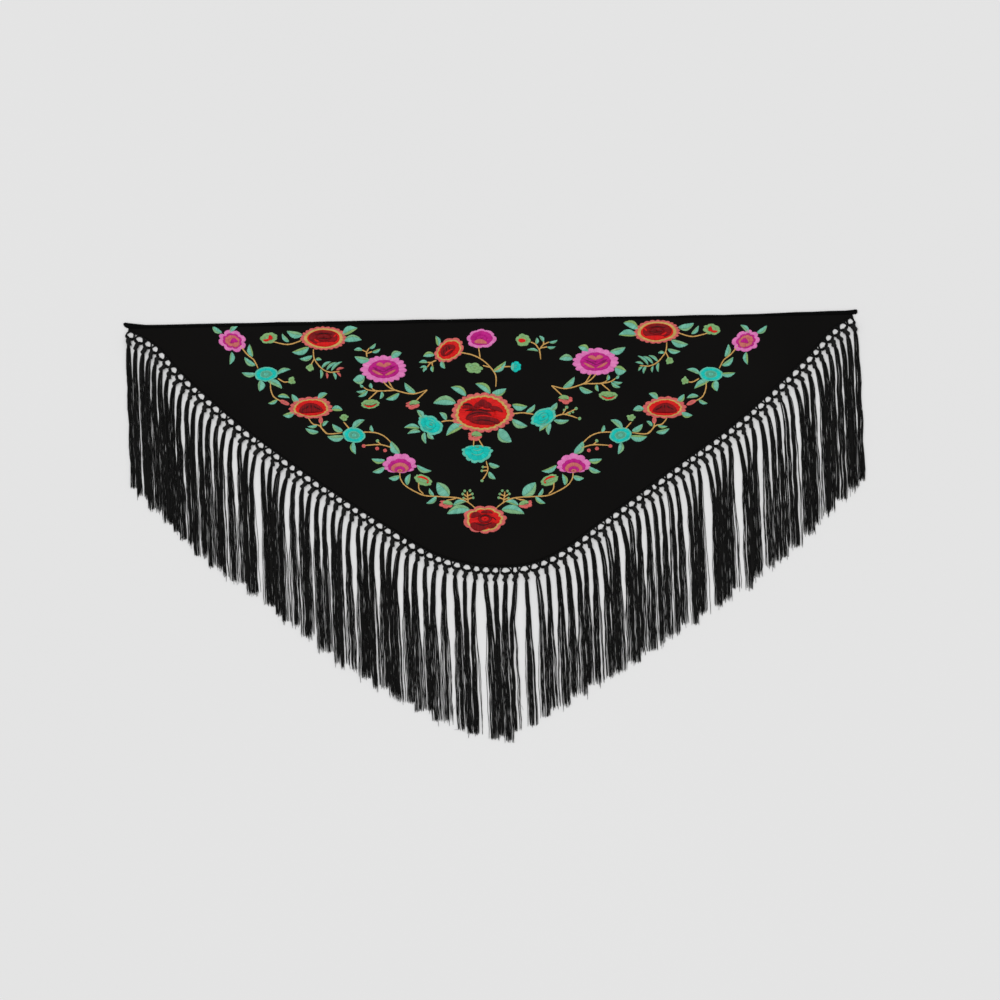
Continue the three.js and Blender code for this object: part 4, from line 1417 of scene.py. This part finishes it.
BLOOMS = {
    "peony": bloom(
        ((1, SALMON, 24, 0.1), (0.88, GOLD, 24, 0.07), (0.8, RED, 24, 0.05), (0.4, RED)),
        (WINE, -0.1, 0.34, 0.16, 0.15, 0.1, 8), (WINE, 0.17, 0.32, 0.15, 0.17, 0.1, -8),
        (WINE, 0.03, 0.44, 0.17, 0.17, 0.1), (SHADE, -0.46, 0.36, 0.17, 0.05, 0.16, -8),
        (WINE, -0.4, 0.2, 0.26, 0.08, 0.12, -12), (WINE, 0.44, 0.12, 0.24, 0.11, 0.1, -26),
        (SHADE, -0.3, 0.06, 0.26, 0.04, 0.1, -10), (WINE, -0.12, -0.2, 0.42, 0.22, 0.1, 10),
        (SHADE, 0.12, 0.14, 0.3, 0.035, -0.04, -14), (WINE, 0.06, -0.4, 0.5, 0.26, 0.04, -10),
        (SHADE, -0.16, -0.12, 0.34, 0.03, 0.12, 8), (RED, 0.08, -0.28, 0.42, 0.03, 0.1, -8),
        (SHADE, 0.1, -0.46, 0.36, 0.03, 0.08, -12),
    ),
    "bottom_red": bloom(
        (
            (1, SALMON, 10, 0.15), (0.86, GOLD, 10, 0.14), (0.76, RED, 10, 0.13),
            (0.32, WINE, 0, 0, -0.04, 0.03), (0.17, RED, 0, 0, -0.04, 0.03),
        ),
        (WINE, -0.38, 0.26, 0.27, 0.2, 0.12, 20), (WINE, 0.12, 0.46, 0.28, 0.12, 0.08, -6),
        (WINE, -0.24, -0.42, 0.42, 0.3, -0.08, -8), (WINE, 0.34, -0.4, 0.24, 0.18, -0.08, 20),
        (SHADE, -0.02, -0.2, 0.4, 0.05, -0.16, 6), (SHADE, 0.03, 0.14, 0.24, 0.04, 0.2),
        (SHADE, 0.44, 0.02, 0.16, 0.035, 0.1, -50), uneven=0.35,
    ),
    "red_round": bloom(
        (
            (1, SALMON, 24, 0.11), (0.86, GOLD, 24, 0.04), (0.71, RED),
            (0.65, WINE, 7, 0.04, -0.06, -0.02), (0.3, WINE, 0, 0, -0.06),
        ),
        (RED, 0.1, -0.42, 0.42, 0.2, -0.06, 6), (RED, -0.3, -0.16, 0.16, 0.07, -0.1, -40),
        (SHADE, 0, 0.3, 0.36, 0.04, 0.08), (SHADE, 0.06, 0.04, 0.3, 0.035, -0.06, 6),
        (RED, 0.5, 0.2, 0.16, 0.07, 0.1, 62), uneven=0.2,
    ),
    "red_oval": bloom(
        ((1, SALMON, 15, 0.14), (0.81, GOLD, 15, 0.08), (0.73, RED, 15, 0.06), (0.4, RED)),
        (WINE, 0, -0.16, 0.56, 0.46, 0.11), (SHADE, -0.32, 0, 0.13, 0.06, 0, 42),
        (SHADE, -0.17, 0.14, 0.14, 0.06, 0, 62), (SHADE, 0, 0.2, 0.15, 0.06, 0, 88),
        (SHADE, 0.17, 0.14, 0.14, 0.06, 0, 118), (SHADE, 0.32, 0, 0.13, 0.06, 0, 140),
        (RED, 0.06, -0.46, 0.36, 0.09, 0.02, 6), foot=0.8,
    ),
    "red_tilted": bloom(
        ((1, SALMON, 12, 0.14), (0.84, GOLD, 12, 0.1), (0.75, RED, 12, 0.08), (0.4, RED)),
        (WINE, -0.06, 0.02, 0.52, 0.46, 0.06), (SHADE, -0.3, 0.12, 0.17, 0.06, 0.1, 62),
        (SHADE, -0.1, 0.2, 0.17, 0.06, 0.1, 70), (SHADE, 0.1, 0.2, 0.17, 0.06, 0.1, 78),
        (RED, -0.05, -0.14, 0.34, 0.06, 0.1, 4), uneven=0.35,
    ),
    "pink_wide": bloom(
        ((1, PINK, 17, 0.14), (0.67, MAGENTA, 14, 0.05), (0.34, MAGENTA)),
        (ROSE, -0.15, 0.25, 0.21, 0.14, 0.14, -30), (ROSE, 0.15, 0.25, 0.21, 0.14, 0.14, 30),
        (PLUM, -0.24, -0.02, 0.32, 0.05, -0.04, -38), (PLUM, 0.24, -0.02, 0.32, 0.05, 0.04, 38),
        (ROSE, -0.28, -0.24, 0.31, 0.09, -0.03, -40), (ROSE, 0.28, -0.24, 0.31, 0.09, -0.03, 40),
    ),
    "pink_heart": bloom(
        ((1, PINK, 8, 0.21), (0.7, MAGENTA, 8, 0.17), (0.54, ROSE, 8, 0.1), (0.25, ROSE)),
        (MAGENTA, 0.14, -0.06, 0.3, 0.22, 0.22, 32), (ROSE, 0.32, -0.3, 0.24, 0.22, 0.1, 36),
    ),
    "pink_fan": bloom(
        (
            (1, PINK, 10, 0.17), (0.69, MAGENTA, 10, 0.1, 0.14), (0.5, ROSE, 0, 0, 0.26),
            (0.3, MAGENTA, 0, 0, 0.36), (0.16, ROSE, 0, 0, 0.44),
        ),
        uneven=0.2, foot=0.62, taper=-0.1,
    ),
    "pink_small": bloom(
        ((1, PINK, 8, 0.13), (0.76, MAGENTA, 8, 0.06, -0.05), (0.36, MAGENTA)),
        (ROSE, -0.06, -0.4, 0.44, 0.24, 0.1, -14),
    ),
    "turquoise": bloom(
        (
            (1, AQUA, 6, 0.06), (0.87, TURQUOISE, 6, 0.06), (0.54, AQUA, 5, 0.06),
            (0.46, SEA, 5, 0.06), (0.22, AQUA),
        ),
    ),
    "turquoise_rose": bloom(
        ((1, AQUA, 8, 0.12), (0.8, TURQUOISE, 8, 0.08), (0.4, TURQUOISE)),
        (AQUA, -0.05, 0.4, 0.4, 0.05, 0.14), (AQUA, 0.08, 0.16, 0.3, 0.05, 0.2, -6),
        (SEA, 0.04, 0, 0.16, 0.09, 0.2), (AQUA, -0.02, -0.2, 0.36, 0.05, -0.2, 6),
        (SEA, -0.1, -0.44, 0.4, 0.05, -0.14, 4), uneven=0.4,
    ),
    "turquoise_fan": bloom(
        ((1, AQUA, 10, 0.14), (0.83, TURQUOISE, 10, 0.09, 0.04), (0.4, TURQUOISE, 0, 0, 0.1)),
        (AQUA, 0, 0.06, 0.44, 0.06, 0.2), (AQUA, 0, -0.24, 0.3, 0.06, 0.2),
        (SEA, 0, -0.42, 0.14, 0.1, 0.1), foot=0.55, taper=-0.12,
    ),
    "turquoise_bud": bloom(
        ((1, TURQUOISE, 5, 0.24), (0.42, TURQUOISE)),
        (AQUA, -0.46, -0.1, 0.7, 0.3, 0.16, 80), (SEA, 0.05, 0, 0.4, 0.08, 0.1, 70), uneven=0.5,
    ),
    "olive_bud": bloom(((1, SAGE, 5, 0.34), (0.35, OLIVE)), taper=0.42),
    "sage_bud": bloom(
        ((1, SAGE, 5, 0.26), (0.45, SAGE, 0, 0, 0, 0.1)),
        (OLIVE, 0.2, 0.1, 0.3, 0.07, 0.3, 50), (FERN, -0.35, 0.2, 0.3, 0.14, 0.1, -20), uneven=0.4,
    ),
    "red_bud": bloom(
        ((1, SAGE, 10, 0.12), (0.5, SAGE)),
        (OLIVE, 0, 0.4, 0.5, 0.16, 0.06), (SHADE, 0, 0.2, 0.74, 0.06, -0.16),
        (RED, 0, 0.02, 0.74, 0.17, -0.19), taper=0.12,
    ),
    "red_cap": bloom(
        ((1, SAGE, 9, 0.14), (0.5, SAGE)),
        (RED, -0.02, 0.16, 0.7, 0.2, 0.13), (FERN, 0, -0.3, 0.5, 0.14, 0.08),
        (RED, 0.52, -0.1, 0.16, 0.2, 0.1, -70),
    ),
    "red_comma": bloom(
        ((1, SAGE, 7, 0.15), (0.45, SAGE)),
        (RED, -0.24, -0.16, 0.46, 0.22, -0.12, 4), (OLIVE, 0.45, 0.1, 0.3, 0.08, -0.2, 60),
        (RED, 0.08, 0.08, 0.48, 0.4, -0.2, 80),
    ),
    "spotted_bud": bloom(((1, SAGE, 6, 0.18), (0.5, OLIVE)), (RED, -0.14, -0.08, 0.52, 0.32, 0)),
    "pink_bud": bloom(
        ((1, SALMON, 5, 0.28, 0.1, -0.06), (0.4, ROSE)),
        (SALMON, -0.72, 0.42, 0.3, 0.16, 0.12, 8), (SAGE, 0.2, 0.2, 0.76, 0.52, 0.08, -8),
        (SHADE, -0.1, -0.1, 0.4, 0.05, 0.1, 4), (OLIVE, 0.25, 0.2, 0.4, 0.1, 0.1, 6), uneven=0.4,
    ),
    "salmon_bud": bloom(((1, SALMON, 0, 0), (0.4, ROSE))),
    "salmon_berry": bloom(((1, SALMON), (0.4, SALMON))),
    "green_berry": bloom(((1, SAGE), (0.4, LEAF))),
}


# Shares across a band of stitches, over the cloth and back under it, and the faces that
# close such a ring.
STITCH_TOP = np.linspace(0, 1, 5)
STITCH_RING = np.concatenate((STITCH_TOP, STITCH_TOP[::-2]))
STITCH_END = np.array([[0, 1, 6, 7], [1, 2, 3, 6], [3, 4, 5, 6]])
STEM_HALF = ((0, 0.1, 0.85, 1), (0.8, 1.15, 1.1, 0.7))
LEAF_STEP = 1.3
STEM_STEP = 1.6
BLOOM_STEP = 1.2
RING_RISE = 0.14
STROKE_RISE = 0.13
STITCH_RAGGED = 0.14
STITCH_OVER = 0.08
STITCH_UNDER = 0.06
REVERSE_CROWN = 0.26
REVERSE_RAISED = 0.2
STITCH_LOWEST = 0.04


@dataclass
class Embroiderer:
    """Works the motifs in satin stitch, through the cloth, so that both faces show them.

    Attributes:
        cut: The shawl's cut.
        name: The name of the piece that the stitches make.
        seed: What its hand's unevenness starts from.
    """

    cut: Cut
    name: str
    seed: int

    def __post_init__(self) -> None:
        self.rng = np.random.default_rng(SEED + self.seed)
        self.maker = MeshMaker(self.name, [silk_material(silk) for silk in Silk])

    def satin(
        self,
        edge_a: np.ndarray,
        edge_b: np.ndarray,
        silk: Silk,
        crown: float,
        raised: float = 0.0,
        closed: bool = False,
    ) -> None:
        """Fills the band between two edges with stitches that run from one to the other.
        The band's top is a half round: crown times the square root of one less the square
        of how far a point is from the band's middle, over the cloth. Its reverse, under the
        cloth, is the same but lower.

        Args:
            edge_a: Points along one edge, (n, 2), in drawing mm.
            edge_b: Points along the other, (n, 2).
            silk: The thread.
            crown: How high the middle of the stitches stands.
            raised: How far the whole band lies over stitches below it.
            closed: Whether the band closes on itself.
        """
        n, ring = len(edge_a), len(STITCH_RING)
        ragged = self.rng.normal(0, STITCH_RAGGED, (n, 2))
        across = edge_b - edge_a
        wide = np.linalg.norm(across, axis=1, keepdims=True) + 1e-6
        edge_a = edge_a - across / wide * ragged[:, :1]
        edge_b = edge_b + across / wide * ragged[:, 1:]
        flat = edge_a[:, None, :] + (edge_b - edge_a)[:, None, :] * STITCH_RING[:, None]
        lift = self.cut.surface(flat[..., 0], flat[..., 1])
        dome = np.sqrt(1 - (2 * STITCH_RING - 1) ** 2)
        over = lift + CLOTH_TOP + STITCH_OVER + raised + crown * dome
        under = self.cut.under(lift) - STITCH_UNDER - REVERSE_CROWN * dome
        under = np.maximum(under - REVERSE_RAISED * raised, STITCH_LOWEST)
        height = np.where(np.arange(ring) < len(STITCH_TOP), over, under)
        points = np.concatenate((flat, height[..., None]), axis=-1).reshape(-1, 3)
        along = travelled((edge_a + edge_b) / 2) + self.rng.uniform(0, 400)
        uv = np.stack(np.broadcast_arrays(along[:, None], STITCH_RING * wide), axis=-1)
        quads = grid_quads(n, ring, True)
        last = (n - 1) * ring
        if closed:
            here = np.arange(ring)
            then = (here + 1) % ring
            ends = (np.stack((here + last, here, then, then + last), axis=1),)
        else:
            ends = (STITCH_END, STITCH_END[:, ::-1] + last)
        quads = np.concatenate((quads, *ends))
        mid = n // 2
        if float(np.cross(edge_a[mid + 1] - edge_a[mid], edge_b[mid] - edge_a[mid])) > 0:
            quads = quads[:, ::-1]
        self.maker.add(points, quads, uv.reshape(-1, 2), slot=list(Silk).index(silk))

    def blade(
        self, base: np.ndarray, tip: np.ndarray, wide: float, bend: float, full: float
    ) -> tuple:
        """The middle line and margins of a leaf-shaped outline. The line bows by bend times
        its length as a parabola; the margins stand off it by half the width times the sine
        of the share along, to a power that makes it full or slender.

        Args:
            base: Where it starts.
            tip: Where it ends.
            wide: Its width.
            bend: Its bow.
            full: The power, less for a fuller form.

        Returns:
            A function of the share along, giving points at an offset in half widths, and
            the outline's length.
        """
        run = tip - base
        square = np.array([-run[1], run[0]])
        length = np.linalg.norm(run) + 1e-6

        def at(t: np.ndarray, offset: float) -> np.ndarray:
            bow = 4 * bend * t * (1 - t)
            line = base + run * t[:, None] + square * bow[:, None]
            half = wide / 2 * np.sin(np.pi * np.clip(t, 0, 1) ** 0.85) ** full
            return line + square / length * (half * offset)[:, None]

        return at, length

    def leaf(self, leaf: Leaf, layout: Layout, hand: float) -> None:
        """Works a leaf in two halves that meet at its rib, with slanting stitches."""
        base = layout.place(np.array(leaf.base_a), np.array(leaf.base_d), hand)
        tip = layout.place(np.array(leaf.tip_a), np.array(leaf.tip_d), hand)
        at, length = self.blade(base, tip, leaf.wide, leaf.bend * -hand, 0.8)
        t = np.linspace(0.0, 1.0, max(8, int(length / LEAF_STEP)))
        near, far = LEAF, FERN if self.rng.uniform() < 0.7 else OLIVE
        if leaf.salmon and hand < 0:
            near, far = SALMON, ROSE
        rib_offset = self.rng.uniform(0.1, 0.55) * (1 if self.rng.uniform() < 0.5 else -1)
        rib = at(np.clip(t - 0.12 * np.sin(np.pi * t), 0, 1), rib_offset)
        wide_side = -1.0 if rib_offset > 0 else 1.0
        self.satin(rib, at(t, wide_side), near, 0.5)
        self.satin(rib, at(t, -wide_side), far, 0.5)

    def stem(self, points: Sequence, layout: Layout, hand: float) -> None:
        """Works a stem as a narrow band along a smooth curve through its points."""
        line = layout.place(*np.array(points, float).T, hand)
        curve = catmull(line, max(6, int(travelled(line)[-1] / STEM_STEP)))
        run = unit(np.gradient(curve, axis=0))
        half = np.interp(np.linspace(0, 1, len(curve)), *STEM_HALF)
        out = np.stack((-run[:, 1], run[:, 0]), axis=1) * half[:, None]
        self.satin(curve + out, curve - out, OCHRE, 0.35, 0.1)

    def scallops(self, theta: np.ndarray, count: int, uneven: float) -> np.ndarray:
        """How far in from a full edge each direction lies, 0 on the crown of a scallop and
        about 1 in a notch. Each scallop is a sine to the power 0.55 over its own width, and
        widths and depths vary by the share uneven.

        Args:
            theta: Directions, 0 to 2 pi.
            count: How many scallops.
            uneven: How much they vary.

        Returns:
            The share of the full depth in each direction.
        """
        widths = 1 + uneven * self.rng.uniform(-1, 1, count)
        stops = np.concatenate(([0.0], np.cumsum(widths))) * TAU / widths.sum()
        depths = 1 + uneven * self.rng.uniform(-1, 1, count)
        depths = np.append(depths, depths[0])
        around = np.mod(theta + self.rng.uniform(0, TAU), TAU)
        i = np.clip(np.searchsorted(stops, around, side="right") - 1, 0, count - 1)
        share = (around - stops[i]) / (stops[i + 1] - stops[i])
        depth = depths[i] + (depths[i + 1] - depths[i]) * share
        return depth * (1 - np.sin(np.pi * np.clip(share, 0, 1)) ** 0.55)

    def bloom(self, spot: Spot, layout: Layout, hand: float) -> None:
        """Works a flower: closed rings of radial stitches, each from its own scalloped edge
        to the next ring's, and then its strokes. A ring's edge is its scale less its
        scallops, with two slow waves round it; the lower half is shortened to the foot and
        the width grows upwards by the taper."""
        make = BLOOMS[spot.kind]
        centre = layout.place(np.array(spot.a), np.array(spot.d), hand)
        flip = -hand if layout.mirrored else 1.0
        tilt = math.radians(spot.tilt) * flip
        cos, sin = math.cos(tilt), math.sin(tilt)
        half = np.array([spot.wide / 2, spot.high / 2])
        n = max(14, int(math.pi * (spot.wide + spot.high) / 2 / BLOOM_STEP))
        theta = TAU * np.arange(n) / n
        begins = self.rng.uniform(0, 6, 2)
        slow = np.sin(3 * theta + begins[0]) + np.sin(5 * theta + begins[1])
        counts = sorted({ring.lobes for ring in make.rings if ring.lobes})
        cuts = {count: self.scallops(theta, count, make.uneven) for count in counts}
        middle = (1 - make.foot) / 2
        stretch = 2 / (1 + make.foot)

        def lay(x: np.ndarray, y: np.ndarray) -> np.ndarray:
            grown = flip * x * (1 + make.taper * y)
            flat = np.stack((grown, (y - middle) * stretch), axis=-1) * half
            return centre + flat @ np.array([[cos, sin], [-sin, cos]])

        def edge(ring: Ring, grown: float) -> np.ndarray:
            r = ring.scale * grown * (1 + 0.05 * make.uneven * slow)
            if ring.lobes:
                r = r * (1 - ring.depth * cuts[ring.lobes])
            y = r * np.sin(theta)
            y = np.where(y < 0, y * make.foot, y) - ring.drop
            return lay(r * np.cos(theta) + ring.aside, y)

        core = make.rings[-1]
        inners = [edge(ring, 0.94) for ring in make.rings[1:]]
        inners.append(edge(Ring(0.02, core.silk, drop=core.drop, aside=core.aside), 1.0))
        for level, (ring, inner) in enumerate(zip(make.rings, inners)):
            self.satin(edge(ring, 1.0), inner, ring.silk, 0.45, RING_RISE * level, True)
        ground = RING_RISE * len(make.rings) + 0.3
        for number, stroke in enumerate(make.strokes):
            angle = math.radians(stroke.tilt)
            reach_x, reach_y = math.cos(angle) * stroke.reach, math.sin(angle) * stroke.reach
            base = lay(stroke.x - reach_x, stroke.y - reach_y)
            tip = lay(stroke.x + reach_x, stroke.y + reach_y)
            at, length = self.blade(base, tip, stroke.thick * spot.high, stroke.bend * flip, 0.6)
            t = np.linspace(0, 1, max(7, int(length / LEAF_STEP)))
            raised = ground + STROKE_RISE * number
            self.satin(at(t, 1.0), at(t, -1.0), stroke.silk, 0.2, raised)

    def work(self, layout: Layout, spots: Sequence, leaves: Sequence, stems: Sequence) -> None:
        """Works one group of motifs, on both sides of its middle line if it is mirrored."""
        for hand in (-1.0, 1.0) if layout.mirrored else (1.0,):
            for motifs, method in ((stems, self.stem), (leaves, self.leaf), (spots, self.bloom)):
                for motif in motifs:
                    method(motif, layout, hand)

    def build(self, *groups: tuple) -> Object:
        """Works the groups in turn and makes the piece.

        Args:
            groups: For each, its layout, spots, leaves and stems.

        Returns:
            The stitches.
        """
        for group in groups:
            self.work(*group)
        return self.maker.make(self.cut.datum)


# Studio.


@dataclass
class Studio:
    """The pale floor, the soft light and the camera straight above.

    Attributes:
        cut: The shawl's cut.
        roll_degrees: How far the camera is turned.
        width_seen: How much of the floor it sees across, in metres.
        lens: Its focal length.
        aim_across: What it looks at, in drawing mm, and aim_down the same.
        floor_half: Half the floor's width, in metres.
        sky_strength: How bright the sky is, and lamp_strength the lamp.
        lamp_degrees: How wide the lamp is, seen from the shawl.
        lamp_tilt: How far it is tilted about X and Y, in degrees.
    """

    cut: Cut
    roll_degrees: float = 1.13
    width_seen: float = 1.8
    lens: float = 100.0
    aim_across: float = 11.7
    aim_down: float = 321.8
    floor_half: float = 6.0
    sky_strength: float = 0.72
    lamp_strength: float = 0.87
    lamp_degrees: float = 40
    lamp_tilt: tuple = (-26, -17)

    def build(self) -> None:
        """Builds the floor, lights and camera."""
        bpy.context.scene.view_settings.view_transform = "Standard"
        self.floor()
        self.lights()
        self.camera()

    def floor(self) -> None:
        """A large plain floor of pale matt board."""
        mesh = bpy.data.meshes.new("floor")
        r = self.floor_half
        mesh.from_pydata([(-r, -r, 0), (r, -r, 0), (r, r, 0), (-r, r, 0)], [], [(0, 1, 2, 3)])
        board = NodeBoard("pale_board")
        cloud = board.noise(board.node("ShaderNodeTexCoord").outputs["Object"], 0.8, 1.0)
        mesh.materials.append(board.finish(cloud, ((0.80,) * 3, (0.82,) * 3), 0.9, 0.0))
        show("floor", mesh)

    def lights(self) -> None:
        """An even pale sky, and one very broad soft lamp from behind the long edge, both
        the same all over the floor."""
        world = bpy.data.worlds.new("pale_studio")
        bpy.context.scene.world = world
        world.use_nodes = True
        sky = world.node_tree.nodes["Background"]
        sky.inputs["Color"].default_value = (1.0, 1.0, 1.0, 1.0)
        sky.inputs["Strength"].default_value = self.sky_strength
        data = bpy.data.lights.new("soft_lamp", "SUN")
        data.energy = self.lamp_strength
        data.angle = math.radians(self.lamp_degrees)
        show("soft_lamp", data).rotation_euler = (*map(math.radians, self.lamp_tilt), 0)

    def camera(self) -> None:
        """The camera looks straight down, turned as the photographer's was."""
        data = bpy.data.cameras.new("camera")
        data.lens = self.lens
        data.sensor_width = 36.0
        data.clip_end = 50.0
        camera = show("camera", data)
        distance = self.width_seen * self.lens / data.sensor_width
        aim = (self.cut.datum + (self.aim_across, -self.aim_down, 0.0)) * MM
        camera.location = (aim[0], aim[1], distance)
        camera.rotation_euler = (0.0, 0.0, -math.radians(self.roll_degrees))
        bpy.context.scene.camera = camera


def main() -> None:
    """Builds the shawl and its studio in order."""
    logging.basicConfig(level=logging.INFO)
    cut = Cut()
    falls = Falls(cut)
    panel = Panel(cut).build()
    trims = [Hem(cut).build()]
    for side, first, end, parts in (
        ("left", 0, LEFT_TASSELS, ("outer", "inner")),
        ("right", LEFT_TASSELS, TASSELS, ("inner", "outer")),
    ):
        whole = Run(side, first, end)
        half = (first + end) // 2
        trims.append(Net(cut, whole).build())
        trims.append(Knots(cut, falls, whole).build())
        for part, run in zip(parts, (Run(side, first, half), Run(side, half, end))):
            trims.append(Tassels(cut, falls, run, part).build())
    trims.append(StrayHairs(cut, falls).build())
    for name, seed, groups in (
        ("embroidery_garland", 201, (GARLAND,)),
        ("embroidery_top_row", 202, (TOP_ROW, BRANCH)),
        ("embroidery_middle", 203, (MIDDLE,)),
    ):
        trims.append(Embroiderer(cut, name, seed).build(*groups))
    Studio(cut).build()


if __name__ == "__main__":
    main()
